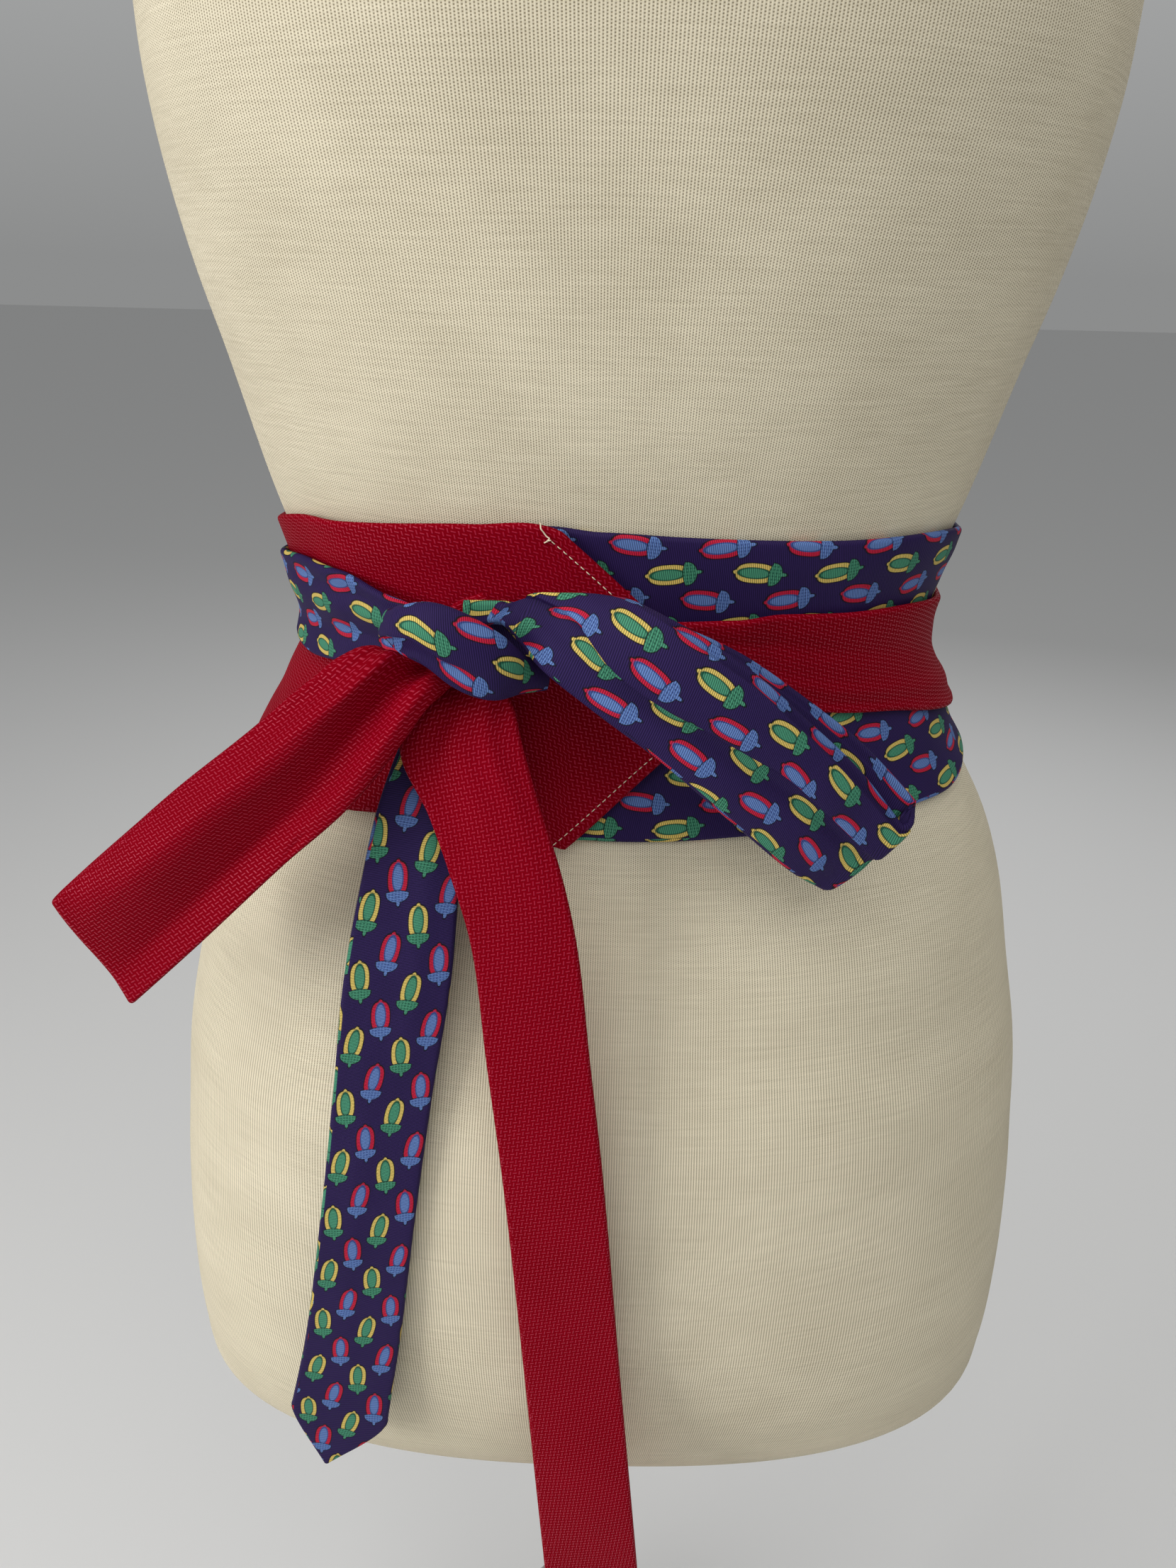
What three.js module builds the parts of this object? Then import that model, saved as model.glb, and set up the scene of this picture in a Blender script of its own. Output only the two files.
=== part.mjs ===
// A wrapped obi-style belt made of two neckties, tied in a bow, on a limbless dress form.
// Millimetres, +Z up, the front faces -Y and +X is to the right as seen from the front.
import * as THREE from "three";

// ---- Driving dimensions ----
const WAIST_HEIGHT = 1020; // floor to the narrowest level of the form
const CLOTH = 2.4; // a tie's two folded layers and its interlining
const SEAM_GAP = 0.45; // between pieces that lie on each other
const FORM_CLEARANCE = 0.5; // between the form's jersey and the first layer
const WAIST_BRIDGE = 0.6; // how far the stiff wrap stands off the form's narrowest level
const BRIDGE_LEVEL = 5; // height above the waist where it is greatest
const BRIDGE_REACH = 46; // height over which it fades out
const POLE_RADIUS = 13;
const BORE_RADIUS = 13.5; // in the form, for the pole
const BORE_DEPTH = 90;
const HUB_TOP = 478;
const SOCKET_DEPTH = 60; // in the hub, for the pole
const LEG_COUNT = 4;
const LEG_THICKNESS = 22;
const LEG_REACH = 275; // pole axis to the toe
const FOOT_LENGTH = 44;

// ---- How finely round surfaces are cut ----
const FORM_COLUMNS = 44;
const HUB_COLUMNS = 32;
const POLE_COLUMNS = 28;
const LEG_CURVE_STEPS = 12;

const COLORS = {
  jersey: 0xe9e2cb,
  red: 0xa3041f,
  navy: 0x3a2b63,
  wood: 0x3a1a10,
};

// A table's rows as objects with named columns.
const table = (columns, rows) =>
  rows.map((row) => Object.fromEntries(columns.split(" ").map((name, i) => [name, row[i]])));

// Smooth or straight interpolation of every column of a table over its first one.
function interpolator(rows, key, Kind = THREE.CubicInterpolant) {
  const sorted = [...rows].sort((a, b) => a[key] - b[key]);
  const names = Object.keys(sorted[0]).filter((name) => name !== key);
  const at = Float32Array.from(sorted, (row) => row[key]);
  const values = Float32Array.from(sorted.flatMap((row) => names.map((name) => row[name])));
  const curve = new Kind(at, values, names.length);
  return (position) => {
    const inside = THREE.MathUtils.clamp(position, at[0], at[at.length - 1]);
    const found = curve.evaluate(inside);
    return Object.fromEntries(names.map((name, i) => [name, found[i]]));
  };
}

// ---- The form's sections, each a rounded oval, by height above the waist ----
const FORM_SECTIONS = table("z half front back squareness", [
  [-349, 150, 64, 84, 2.5],
  [-343, 165, 73, 93, 2.5],
  [-330, 173, 85, 103, 2.5],
  [-299, 175.5, 100, 112, 2.45],
  [-254, 174.5, 110, 118, 2.4],
  [-211, 171.5, 113, 120, 2.35],
  [-188, 169, 114, 120, 2.3],
  [-150, 164, 112, 116, 2.3],
  [-114, 156, 107, 108, 2.25],
  [-81, 148, 102, 98, 2.25],
  [-60, 140, 97, 90, 2.25],
  [-38, 127.5, 92, 82, 2.25],
  [-15, 114.5, 87, 76, 2.25],
  [0, 106.5, 86, 74, 2.25],
  [15, 104.5, 86.5, 73.5, 2.25],
  [30, 108, 88, 73.5, 2.25],
  [57, 116.5, 92, 75, 2.25],
  [95, 126.5, 100, 80, 2.25],
  [118, 133, 105, 84, 2.25],
  [145, 138.5, 112, 88, 2.25],
  [168, 141, 118, 93, 2.25],
  [200, 142, 123, 100, 2.2],
  [230, 146, 124, 104, 2.2],
  [260, 155.5, 118, 106, 2.2],
  [300, 170, 105, 104, 2.2],
  [330, 176, 86, 94, 2.2],
  [350, 172, 70, 83, 2.2],
  [366, 155, 60, 75, 2.15],
  [382, 122, 54, 69, 2.1],
  [398, 86, 51, 64, 2.05],
  [412, 68, 52, 60, 2],
  [440, 61, 56, 59, 2],
]);
const formSection = interpolator(FORM_SECTIONS, "z");

// A point of the form's surface at a turn in degrees about the vertical, 0 in front and + to the right.
function formPoint(turn, z) {
  const s = formSection(z);
  const angle = THREE.MathUtils.degToRad(turn);
  const side = Math.abs(Math.sin(angle)) / s.half;
  const depth = Math.abs(Math.cos(angle)) / (Math.cos(angle) > 0 ? s.front : s.back);
  const reach = (side ** s.squareness + depth ** s.squareness) ** (-1 / s.squareness);
  return new THREE.Vector3(reach * Math.sin(angle), -reach * Math.cos(angle), z);
}

// The form's point moved out along the surface's own normal.
function aboveForm(turn, z, distance) {
  const step = 0.5;
  const along = formPoint(turn + step, z).sub(formPoint(turn - step, z));
  const up = formPoint(turn, z + step).sub(formPoint(turn, z - step));
  const bridge = WAIST_BRIDGE * Math.max(0, 1 - ((z - BRIDGE_LEVEL) / BRIDGE_REACH) ** 2);
  return formPoint(turn, z).addScaledVector(along.cross(up).normalize(), distance + bridge);
}

// ---- Closed solids from rows of points ----
function solid(points, faces) {
  const geometry = new THREE.BufferGeometry();
  geometry.setAttribute("position", new THREE.Float32BufferAttribute(points.flatMap((p) => p.toArray()), 3));
  const volume = faces.reduce((sum, [a, b, c]) => {
    const cross = new THREE.Vector3().crossVectors(points[b], points[c]);
    return sum + points[a].dot(cross);
  }, 0);
  geometry.setIndex(faces.flatMap(([a, b, c]) => (volume > 0 ? [a, b, c] : [a, c, b])));
  geometry.computeVertexNormals();
  return geometry;
}

// A wall between two matching grids of points, closed along all four edges.
function wall(outer, inner) {
  const rows = outer.length;
  const columns = outer[0].length;
  const points = [...outer.flat(), ...inner.flat()];
  const at = (side, i, j) => (side * rows + i) * columns + j;
  const faces = [];
  const quad = (a, b, c, d) => faces.push([a, b, c], [a, c, d]);
  for (let i = 0; i + 1 < rows; i++) {
    for (let j = 0; j + 1 < columns; j++) {
      quad(at(0, i, j), at(0, i, j + 1), at(0, i + 1, j + 1), at(0, i + 1, j));
      quad(at(1, i, j), at(1, i + 1, j), at(1, i + 1, j + 1), at(1, i, j + 1));
    }
    quad(at(0, i, 0), at(0, i + 1, 0), at(1, i + 1, 0), at(1, i, 0));
    quad(at(0, i + 1, columns - 1), at(0, i, columns - 1), at(1, i, columns - 1), at(1, i + 1, columns - 1));
  }
  for (let j = 0; j + 1 < columns; j++) {
    quad(at(0, 0, j + 1), at(0, 0, j), at(1, 0, j), at(1, 0, j + 1));
    quad(at(0, rows - 1, j), at(0, rows - 1, j + 1), at(1, rows - 1, j + 1), at(1, rows - 1, j));
  }
  return solid(points, faces);
}

// Rings joined one above the other, with a point closing each end.
function stackedRings(start, rings, end) {
  const columns = rings[0].length;
  const points = [start, ...rings.flat(), end];
  const last = points.length - 1;
  const at = (i, j) => 1 + i * columns + (j % columns);
  const faces = [];
  for (let j = 0; j < columns; j++) {
    faces.push([0, at(0, j + 1), at(0, j)]);
    faces.push([last, at(rings.length - 1, j), at(rings.length - 1, j + 1)]);
    for (let i = 0; i + 1 < rings.length; i++) {
      faces.push([at(i, j), at(i, j + 1), at(i + 1, j + 1)], [at(i, j), at(i + 1, j + 1), at(i + 1, j)]);
    }
  }
  return solid(points, faces);
}

// ---- The padded form: its rings go up the outside, and a bore takes the pole ----
function formBody() {
  const turns = Array.from({ length: FORM_COLUMNS }, (_, j) => (360 * j) / FORM_COLUMNS);
  const bottom = FORM_SECTIONS[0].z;
  const top = FORM_SECTIONS[FORM_SECTIONS.length - 1].z;
  const boreRing = (z) =>
    turns.map((turn) => {
      const angle = THREE.MathUtils.degToRad(turn);
      return new THREE.Vector3(BORE_RADIUS * Math.sin(angle), -BORE_RADIUS * Math.cos(angle), z);
    });
  const skin = FORM_SECTIONS.map((s) => turns.map((turn) => formPoint(turn, s.z)));
  const rings = [boreRing(bottom + BORE_DEPTH), boreRing(bottom), ...skin];
  return stackedRings(
    new THREE.Vector3(0, 0, bottom + BORE_DEPTH),
    rings,
    new THREE.Vector3(0, 0, top),
  );
}

// ---- Strips wound on the form ----
// Each row gives the turn, the heights of the two long edges and the layer, 1 lying on the form.
const RED_BLADE = table("turn top bottom layer", [
  [19.5, 12.9, 11.7, 2],
  [-10, 51.9, -42, 2],
  [-12.3, 55, -41.5, 2],
  [-25, 55, -38.5, 2],
  [-41, 52, -38, 2],
  [-47, 51, -39.5, 2],
  [-60, 48.5, -40.5, 1],
  [-80, 42, -37, 1],
  [-95, 41, -38, 1],
  [-120, 42, -31, 1],
  [-150, 47, -10, 1],
  [-165, 51, 0, 1],
  [-178, 52, 4, 1],
]);
const NAVY_BLADE = table("turn top bottom layer", [
  [-46, 8.6, 7.4, 1],
  [-17, 53.5, -38, 1],
  [-3.5, 54, -40, 1],
  [10, 53, -40, 1],
  [24, 52, -39, 1],
  [38, 51, -39, 1],
  [56, 50, -38, 1],
  [66, 48.5, -38.5, 1],
  [80, 45, -35, 1],
  [95, 44, -35, 1],
  [120, 37, -40, 1],
  [150, 15, -46, 1],
  [165, 1, -50, 1],
  [178, -2, -50, 1],
]);
const RED_BAND = table("turn top bottom layer", [
  [181.5, 52, 4, 1],
  [172, 51.5, 4, 1],
  [162, 49, 3, 2],
  [130, 36, -12, 2],
  [105, 27, -19, 2],
  [80, 23.5, -19.5, 2],
  [67, 26.5, -14, 2],
  [55, 29, -8, 2],
  [40.5, 30, -3, 2],
  [29, 31, 2, 2],
  [20.5, 31, 5, 3],
  [1.5, 31, 11, 3.5],
]);
const NAVY_BAND = table("turn top bottom layer", [
  [-181.5, -2, -50, 1],
  [-173, -2, -49, 1],
  [-165, -1.5, -47, 2],
  [-130, 13, -28, 2],
  [-105, 26, -9, 2],
  [-80, 33, 1, 2],
  [-62, 38, 2.5, 2],
  [-49, 38.5, 8, 3],
  [-37, 35, 15, 4.6],
  [-30, 32, 19, 5],
  [-20, 32, 20, 4.2],
  [-8, 33, 20, 3.8],
]);
const WOUND_STEP = 5; // degrees between a wound strip's rows
const WOUND_COLUMN_WIDTH = 10;

function woundStrip(rows) {
  const turns = [];
  rows.forEach((row, i) => {
    const next = rows[i + 1];
    const steps = next ? Math.ceil(Math.abs(next.turn - row.turn) / WOUND_STEP) : 1;
    for (let k = 0; k < steps; k++) turns.push(row.turn + (next ? ((next.turn - row.turn) * k) / steps : 0));
  });
  const strip = interpolator(rows, "turn", THREE.LinearInterpolant);
  const widest = Math.max(...rows.map((row) => row.top - row.bottom));
  const columns = Math.round(widest / WOUND_COLUMN_WIDTH) + 1;
  const face = (side) =>
    turns.map((turn) => {
      const { top, bottom, layer } = strip(turn);
      const distance = FORM_CLEARANCE + (layer - 1) * (CLOTH + SEAM_GAP) + side * CLOTH;
      return Array.from({ length: columns }, (_, j) =>
        aboveForm(turn, THREE.MathUtils.lerp(bottom, top, j / (columns - 1)), distance),
      );
    });
  return wall(face(1), face(0));
}

// ---- Free ribbons: each row gives both long edges, and how far the middle bulges ----
const RIBBON = "leftX leftY leftZ rightX rightY rightZ crown";

// The same rows with their share of the ribbon's length, 0 to 1.
function placedByLength(rows) {
  const middle = (r) => new THREE.Vector3(r.leftX + r.rightX, r.leftY + r.rightY, r.leftZ + r.rightZ);
  const lengths = rows.slice(1).map((row, i) => middle(row).distanceTo(middle(rows[i])));
  const total = lengths.reduce((sum, length) => sum + length, 0);
  let covered = 0;
  return rows.map((row, i) => {
    covered += i > 0 ? lengths[i - 1] : 0;
    return { ...row, at: covered / total };
  });
}

// Places along the ribbon: every row's own, and even steps between them.
function stations(rows, step, from = 0, to = 1) {
  const places = placedByLength(rows).map((row) => row.at).filter((at) => at > from && at < to);
  const stops = [from, ...places, to];
  return stops.flatMap((stop, i) => {
    const count = i + 1 < stops.length ? Math.max(1, Math.round((stops[i + 1] - stop) / step)) : 1;
    return Array.from({ length: count }, (_, k) => stop + (k * (stops[i + 1] - stop || 0)) / count);
  });
}

// The ribbon's middle surface as a function of its length and width, both 0 to 1.
function ribbonSurface(rows, creases = []) {
  const section = interpolator(placedByLength(rows), "at");
  const flat = (u, v) => {
    const s = section(u);
    return new THREE.Vector3(
      THREE.MathUtils.lerp(s.leftX, s.rightX, v),
      THREE.MathUtils.lerp(s.leftY, s.rightY, v),
      THREE.MathUtils.lerp(s.leftZ, s.rightZ, v),
    );
  };
  const step = 0.004; // of the length and width, to either side
  const flatFrame = (u, v) => {
    const along = flat(u + step, v).sub(flat(u - step, v));
    const across = flat(u, v + step).sub(flat(u, v - step));
    return along.cross(across).normalize();
  };
  const shaped = (u, v) => {
    const bulge = section(u).crown * (1 - (2 * v - 1) ** 2);
    const troughs = creases.reduce((sum, crease) => {
      const across = (v - crease.at) / crease.width;
      const along = (u - crease.middle) / crease.reach;
      return sum + crease.depth * Math.exp(-across * across - along * along);
    }, 0);
    return flat(u, v).addScaledVector(flatFrame(u, v), bulge - troughs);
  };
  const normal = (u, v) => {
    const along = shaped(u + step, v).sub(shaped(u - step, v));
    const across = shaped(u, v + step).sub(shaped(u, v - step));
    return along.cross(across).normalize();
  };
  return { shaped, normal };
}

const grid = (rows, columns, point) =>
  rows.map((row) => Array.from({ length: columns }, (_, j) => point(row, j / (columns - 1))));
const LOOP_STEP = 0.07; // of the loop's length
const TURN_STEPS = 4;
const NEAR_END = 0.97; // the loop's turn goes on in the direction from here to its end

function ribbon(rows, { step = 0.04, columns = 6, creases = [] } = {}) {
  const { shaped, normal } = ribbonSurface(rows, creases);
  const face = (distance) =>
    grid(stations(rows, step), columns, (u, v) => shaped(u, v).addScaledVector(normal(u, v), distance));
  return wall(face(CLOTH / 2), face(-CLOTH / 2));
}

// A bow loop: the strip runs out in front of the rows' surface, turns back at the far end, and returns
// behind it. Half the air between the two layers is given along the loop, and the rear one may lie
// shifted across.
function bowLoop(rows, { air, frontFrom = 0, backFrom = 0, columns = 6, creases = [] }) {
  const front = ribbonSurface(rows, creases);
  const plain = ribbonSurface(rows);
  const halfAir = interpolator(air, "at");
  const places = [
    ...stations(rows, LOOP_STEP, frontFrom).map((u) => ({ u, angle: 0 })),
    ...Array.from({ length: TURN_STEPS }, (_, k) => ({ u: 1, angle: (Math.PI * (k + 1)) / (TURN_STEPS + 1) })),
    ...stations(rows, LOOP_STEP, backFrom).reverse().map((u) => ({ u, angle: Math.PI })),
  ];
  const layer = (side) =>
    grid(places, columns, ({ u, angle }, v) => {
      const surface = angle > 0 ? plain : front;
      const { half, shift } = halfAir(u);
      const from = half + side * (CLOTH / 2);
      const out = plain.shaped(1, v).sub(plain.shaped(NEAR_END, v)).normalize();
      const across = plain.shaped(u, 1).sub(plain.shaped(u, 0)).normalize();
      return surface
        .shaped(u, v)
        .addScaledVector(surface.normal(u, v), from * Math.cos(angle))
        .addScaledVector(out, from * Math.sin(angle))
        .addScaledVector(across, (shift * angle) / Math.PI);
    });
  return wall(layer(1), layer(-1));
}

const RED_TAIL = table(RIBBON, [
  [-41, -98.4, 20.5, -33, -98.8, 20.5, 0],
  [-44, -103.5, 14, -33, -104, 13.5, 0.5],
  [-51, -108.5, 7, -29, -109, 9, 1],
  [-58, -110.5, -3, -26.5, -112, 0, 1.5],
  [-52.5, -115, -22.5, -21, -115.5, -18.5, 1.5],
  [-47, -118.5, -38, -15, -118.5, -37, 1],
  [-41, -121, -60, -10, -121, -59, 0.5],
  [-36.5, -122.7, -102, -5, -122.7, -101, 0.5],
  [-32, -124, -144, 0, -124, -143, 0.5],
  [-25, -125, -229, 8, -125, -228, 0.5],
  [-17, -126, -332, 18, -126, -330, 0.5],
  [-12.5, -126, -394, 23, -126, -391, 0.5],
  [-10.8, -126, -417, 25, -126, -414, 0.5],
  [-10.6, -126, -420, 25.2, -126, -417, 0.5],
  [6.6, -126, -439, 7.8, -126, -439, 0],
]);
const NAVY_TAIL = table(RIBBON, [
  [-56, -97.2, 18.5, -45, -97.4, 18.5, 0],
  [-57, -98.5, 4, -42, -98.5, 4, 0],
  [-63, -102.5, -9, -41, -102.5, -10, 0],
  [-69, -105.5, -26, -43, -105.5, -27, 0.5],
  [-74, -108, -47, -45, -108, -47, 0.5],
  [-81, -110, -81, -48, -110, -80, 0.5],
  [-87, -111.5, -125, -55, -112, -123, 0.5],
  [-94, -112, -174, -62, -113, -172, 0.5],
  [-103, -112, -228, -69, -113, -226, 0.5],
  [-110.5, -112, -262, -75.6, -113, -269, 0.5],
  [-111, -112, -264, -76, -113, -272, 0.5],
  [-100.6, -113, -294, -99.4, -113, -294, 0],
]);
const RED_LOOP = table(RIBBON, [
  [-51, -107, 28, -42, -107, 20, 0],
  [-57, -109, 23.6, -43.5, -110, 17, 1],
  [-65, -110, 23.4, -47, -113, 14, 2],
  [-73, -113.5, 24, -51.5, -116, 10, 3],
  [-83, -114, 17, -58, -117.5, 1, 3],
  [-100, -113, 2, -72, -118, -17, 3],
  [-121, -112, -15, -92, -116, -36, 2.5],
  [-146, -112.5, -37, -123, -114.5, -67, 1.5],
  [-160.5, -113.5, -50, -142.5, -113.5, -86, 0.5],
]);
const RED_LOOP_AIR = table("at half shift", [
  [0, 1.8, 0],
  [0.15, 2.6, 0],
  [0.35, 4.5, 0],
  [0.65, 6.5, 0],
  [0.9, 4, 0],
  [1, 2.6, 0],
]);
const RED_LOOP_CREASES = table("at width middle reach depth", [
  [0.12, 0.09, 0.15, 0.2, 1],
  [0.56, 0.22, 0.58, 0.42, 3.4],
]);
const NAVY_LOOP = table(RIBBON, [
  [-46, -104.5, 28, -46, -104.5, 36.5, 0],
  [-32, -106.5, 31, -28, -105.5, 37, 0],
  [-26, -111.5, 28, -17, -109, 38.5, 1],
  [-20, -115, 23, -2, -112, 38.5, 2],
  [-6, -117, 14, 11, -116, 36, 2.5],
  [13, -117, 1, 29, -117, 26, 2.5],
  [34, -114.5, -19, 49, -115, 10, 2],
  [51, -112, -36, 67, -113, -6, 1.5],
  [61, -110.5, -44, 81, -111.5, -22, 0.5],
]);
const NAVY_LOOP_AIR = table("at half shift", [
  [0, 1.6, 0],
  [0.16, 3, 0],
  [0.3, 4.6, 0],
  [0.55, 7, 4],
  [0.8, 5.5, 6],
  [1, 2.4, 7],
]);
const NAVY_LOOP_CREASES = table("at width middle reach depth", [[0.5, 0.08, 0.6, 0.5, 2]]);
const KNOT = table(RIBBON, [
  [-58, -95, 26.5, -56, -95, 33, 0],
  [-64, -105, 26.6, -61.5, -105, 34, 0.5],
  [-62, -112, 26.9, -59, -112, 35.5, 1],
  [-58, -118, 25.5, -55, -118, 39, 1.5],
  [-51, -121.5, 23.5, -49, -121, 41, 2.5],
  [-43, -122.5, 18, -41, -122.5, 39, 2.5],
  [-34, -120.5, 14.5, -32, -121, 33, 2.5],
  [-27, -113, 14, -26.5, -113.5, 25, 2],
  [-20, -107, 13, -20, -107, 20.5, 1],
]);
const KNOT_CREASES = table("at width middle reach depth", [[0.4, 0.12, 0.45, 0.4, 2]]);
const RED_TUCK = table(RIBBON, [
  [-43, -99.8, 22, -52, -99.8, 27, 0],
  [-37, -99.8, 28, -46, -99.8, 34.5, 0],
  [-30, -99.8, 31.5, -38, -99.8, 38, 0],
]);

// ---- The stand ----
// The hub's outside from the socket's mouth down, by depth below its top.
const HUB_PROFILE = table("radius depth", [
  [14, 3],
  [26, 11],
  [34, 24],
  [37.5, 40],
  [34, 56],
  [25, 66],
  [22, 72],
  [29, 80],
  [30, 170],
  [24, 180],
  [16, 196],
  [7, 205],
  [0, 208],
]);

function hub() {
  const at = (radius, depth) => new THREE.Vector2(radius, HUB_TOP - depth);
  const hole = POLE_RADIUS + SEAM_GAP;
  const outside = HUB_PROFILE.map((p) => at(p.radius, p.depth)).reverse();
  const socket = [at(hole, HUB_PROFILE[0].depth), at(hole, SOCKET_DEPTH), at(0, SOCKET_DEPTH)];
  return new THREE.LatheGeometry([...outside, ...socket], HUB_COLUMNS).rotateX(Math.PI / 2);
}

// A leg's side view, by distance from the pole's axis and height: its root on the hub, the two curves that
// run down to the ankle and the heel, and the toe.
const LEG_ROOT = { x: 30.4, top: HUB_TOP - 92, bottom: HUB_TOP - 158 };
const UPPER_PULLS = table("x y", [[120, HUB_TOP - 86], [190, 170]]);
const LOWER_PULLS = table("x y", [[170, 110], [110, HUB_TOP - 178]]);
const ANKLE = { x: LEG_REACH - 26, y: 34 };
const INSTEP = { x: LEG_REACH - 20, y: 22 };
const TOE_TOP = { x: LEG_REACH - 4, y: 20 };
const TOE_PULL_HEIGHT = 18;
const TOE_HEIGHT = 10;
const TOE_ROUNDING = 4;

function leg() {
  const side = new THREE.Shape();
  const pulls = (points) => points.flatMap((p) => [p.x, p.y]);
  side.moveTo(LEG_ROOT.x, LEG_ROOT.top);
  side.bezierCurveTo(...pulls(UPPER_PULLS), ANKLE.x, ANKLE.y);
  side.quadraticCurveTo(INSTEP.x, INSTEP.y, TOE_TOP.x, TOE_TOP.y);
  side.quadraticCurveTo(LEG_REACH, TOE_PULL_HEIGHT, LEG_REACH, TOE_HEIGHT);
  side.lineTo(LEG_REACH - TOE_ROUNDING, 0);
  side.lineTo(LEG_REACH - FOOT_LENGTH, 0);
  side.bezierCurveTo(...pulls(LOWER_PULLS), LEG_ROOT.x, LEG_ROOT.bottom);
  side.closePath();
  const extrusion = { depth: LEG_THICKNESS, bevelEnabled: false, curveSegments: LEG_CURVE_STEPS };
  return new THREE.ExtrudeGeometry(side, extrusion).translate(0, 0, -LEG_THICKNESS / 2).rotateX(Math.PI / 2);
}

function pole() {
  const bottom = HUB_TOP - SOCKET_DEPTH + SEAM_GAP;
  const top = WAIST_HEIGHT + FORM_SECTIONS[0].z + BORE_DEPTH - SEAM_GAP;
  return new THREE.CylinderGeometry(POLE_RADIUS, POLE_RADIUS, top - bottom, POLE_COLUMNS)
    .rotateX(Math.PI / 2)
    .translate(0, 0, (top + bottom) / 2);
}

// ---- The assembly ----
const group = new THREE.Group();
const onWaist = new THREE.Group();
onWaist.position.z = WAIST_HEIGHT;
group.add(onWaist);

function piece(parent, name, geometry, color, roughness) {
  const material = new THREE.MeshStandardMaterial({ color, roughness, metalness: 0 });
  const mesh = new THREE.Mesh(geometry, material);
  mesh.name = name;
  parent.add(mesh);
  return mesh;
}

const red = (name, geometry) => piece(onWaist, name, geometry, COLORS.red, 0.6);
const navy = (name, geometry) => piece(onWaist, name, geometry, COLORS.navy, 0.55);
const wood = (name, geometry) => piece(group, name, geometry, COLORS.wood, 0.35);

piece(onWaist, "form_body", formBody(), COLORS.jersey, 0.9);
navy("navy_blade", woundStrip(NAVY_BLADE));
red("red_blade", woundStrip(RED_BLADE));
navy("navy_band", woundStrip(NAVY_BAND));
red("red_band", woundStrip(RED_BAND));
red("red_tail", ribbon(RED_TAIL));
navy("navy_tail", ribbon(NAVY_TAIL));
red("red_loop", bowLoop(RED_LOOP, { air: RED_LOOP_AIR, creases: RED_LOOP_CREASES, columns: 9 }));
navy(
  "navy_loop",
  bowLoop(NAVY_LOOP, {
    air: NAVY_LOOP_AIR,
    creases: NAVY_LOOP_CREASES,
    frontFrom: 0.1,
    backFrom: 0.02,
    columns: 9,
  }),
);
red("red_tuck", ribbon(RED_TUCK, { step: 0.2, columns: 4 }));
navy("navy_knot", ribbon(KNOT, { step: 0.06, columns: 8, creases: KNOT_CREASES }));

wood("stand_pole", pole());
wood("stand_hub", hub());
for (let i = 0; i < LEG_COUNT; i++) {
  const turned = wood(`stand_leg_${i + 1}`, leg());
  turned.rotation.z = (2 * Math.PI * (i + 0.5)) / LEG_COUNT;
}

export default group;
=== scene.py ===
# A wrapped obi-style belt made of two neckties, a red one and a printed navy one, tied in a bow on a
# limbless dress form. Blender works in metres; the cloth is worked out in millimetres from the waist,
# with +Z up, the front facing -Y, and turns in degrees about the pole, 0 in front and + to the right.
import math

import bmesh
import bpy
import numpy as np
from mathutils import Matrix, Vector


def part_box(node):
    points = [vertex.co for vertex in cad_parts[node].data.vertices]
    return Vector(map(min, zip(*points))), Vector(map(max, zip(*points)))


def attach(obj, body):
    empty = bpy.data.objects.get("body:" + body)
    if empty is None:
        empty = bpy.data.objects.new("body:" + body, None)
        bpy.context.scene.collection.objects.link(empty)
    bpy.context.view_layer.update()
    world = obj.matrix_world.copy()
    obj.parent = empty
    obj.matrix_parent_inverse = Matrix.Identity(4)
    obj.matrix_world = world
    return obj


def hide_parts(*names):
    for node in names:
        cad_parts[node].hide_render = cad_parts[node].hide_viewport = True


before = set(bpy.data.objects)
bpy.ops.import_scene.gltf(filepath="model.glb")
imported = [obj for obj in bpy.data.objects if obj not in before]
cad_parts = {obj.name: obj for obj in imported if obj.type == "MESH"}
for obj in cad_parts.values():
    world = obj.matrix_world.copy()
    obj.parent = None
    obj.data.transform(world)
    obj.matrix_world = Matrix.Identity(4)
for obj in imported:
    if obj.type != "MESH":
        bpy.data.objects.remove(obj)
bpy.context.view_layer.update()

# ---- Camera ----
# A phone held a forearm's length in front of the belt, a little above it, looking down at the knot and
# very slightly rolled. Its wide lens shows the whole front of the waist from that near.
def placed(name, data):
    """A new object in the scene."""
    made = bpy.data.objects.new(name, data)
    bpy.context.scene.collection.objects.link(made)
    return made


WAIST_HEIGHT = 1.020  # metres above the floor
CAMERA_PLACE = Vector((-0.0074, -0.415, WAIST_HEIGHT + 0.120))
CAMERA_LENS = 27.04  # mm, on a sensor 36 mm wide
LOOK_DOWN, LOOK_ASIDE, ROLL = np.radians([23.7, -0.07, 1.38])

ahead = Vector((math.sin(LOOK_ASIDE) * math.cos(LOOK_DOWN),
                math.cos(LOOK_ASIDE) * math.cos(LOOK_DOWN),
                -math.sin(LOOK_DOWN)))
level = Vector((math.cos(LOOK_ASIDE), -math.sin(LOOK_ASIDE), 0))
above = level.cross(ahead)
right = level * math.cos(ROLL) + above * math.sin(ROLL)
up = above * math.cos(ROLL) - level * math.sin(ROLL)
camera = placed("camera", bpy.data.cameras.new("camera"))
camera.data.lens = CAMERA_LENS
camera.data.clip_start = 0.02
camera.matrix_world = Matrix.Translation(CAMERA_PLACE) @ Matrix((right, up, -ahead)).transposed().to_4x4()
bpy.context.scene.camera = camera


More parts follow.
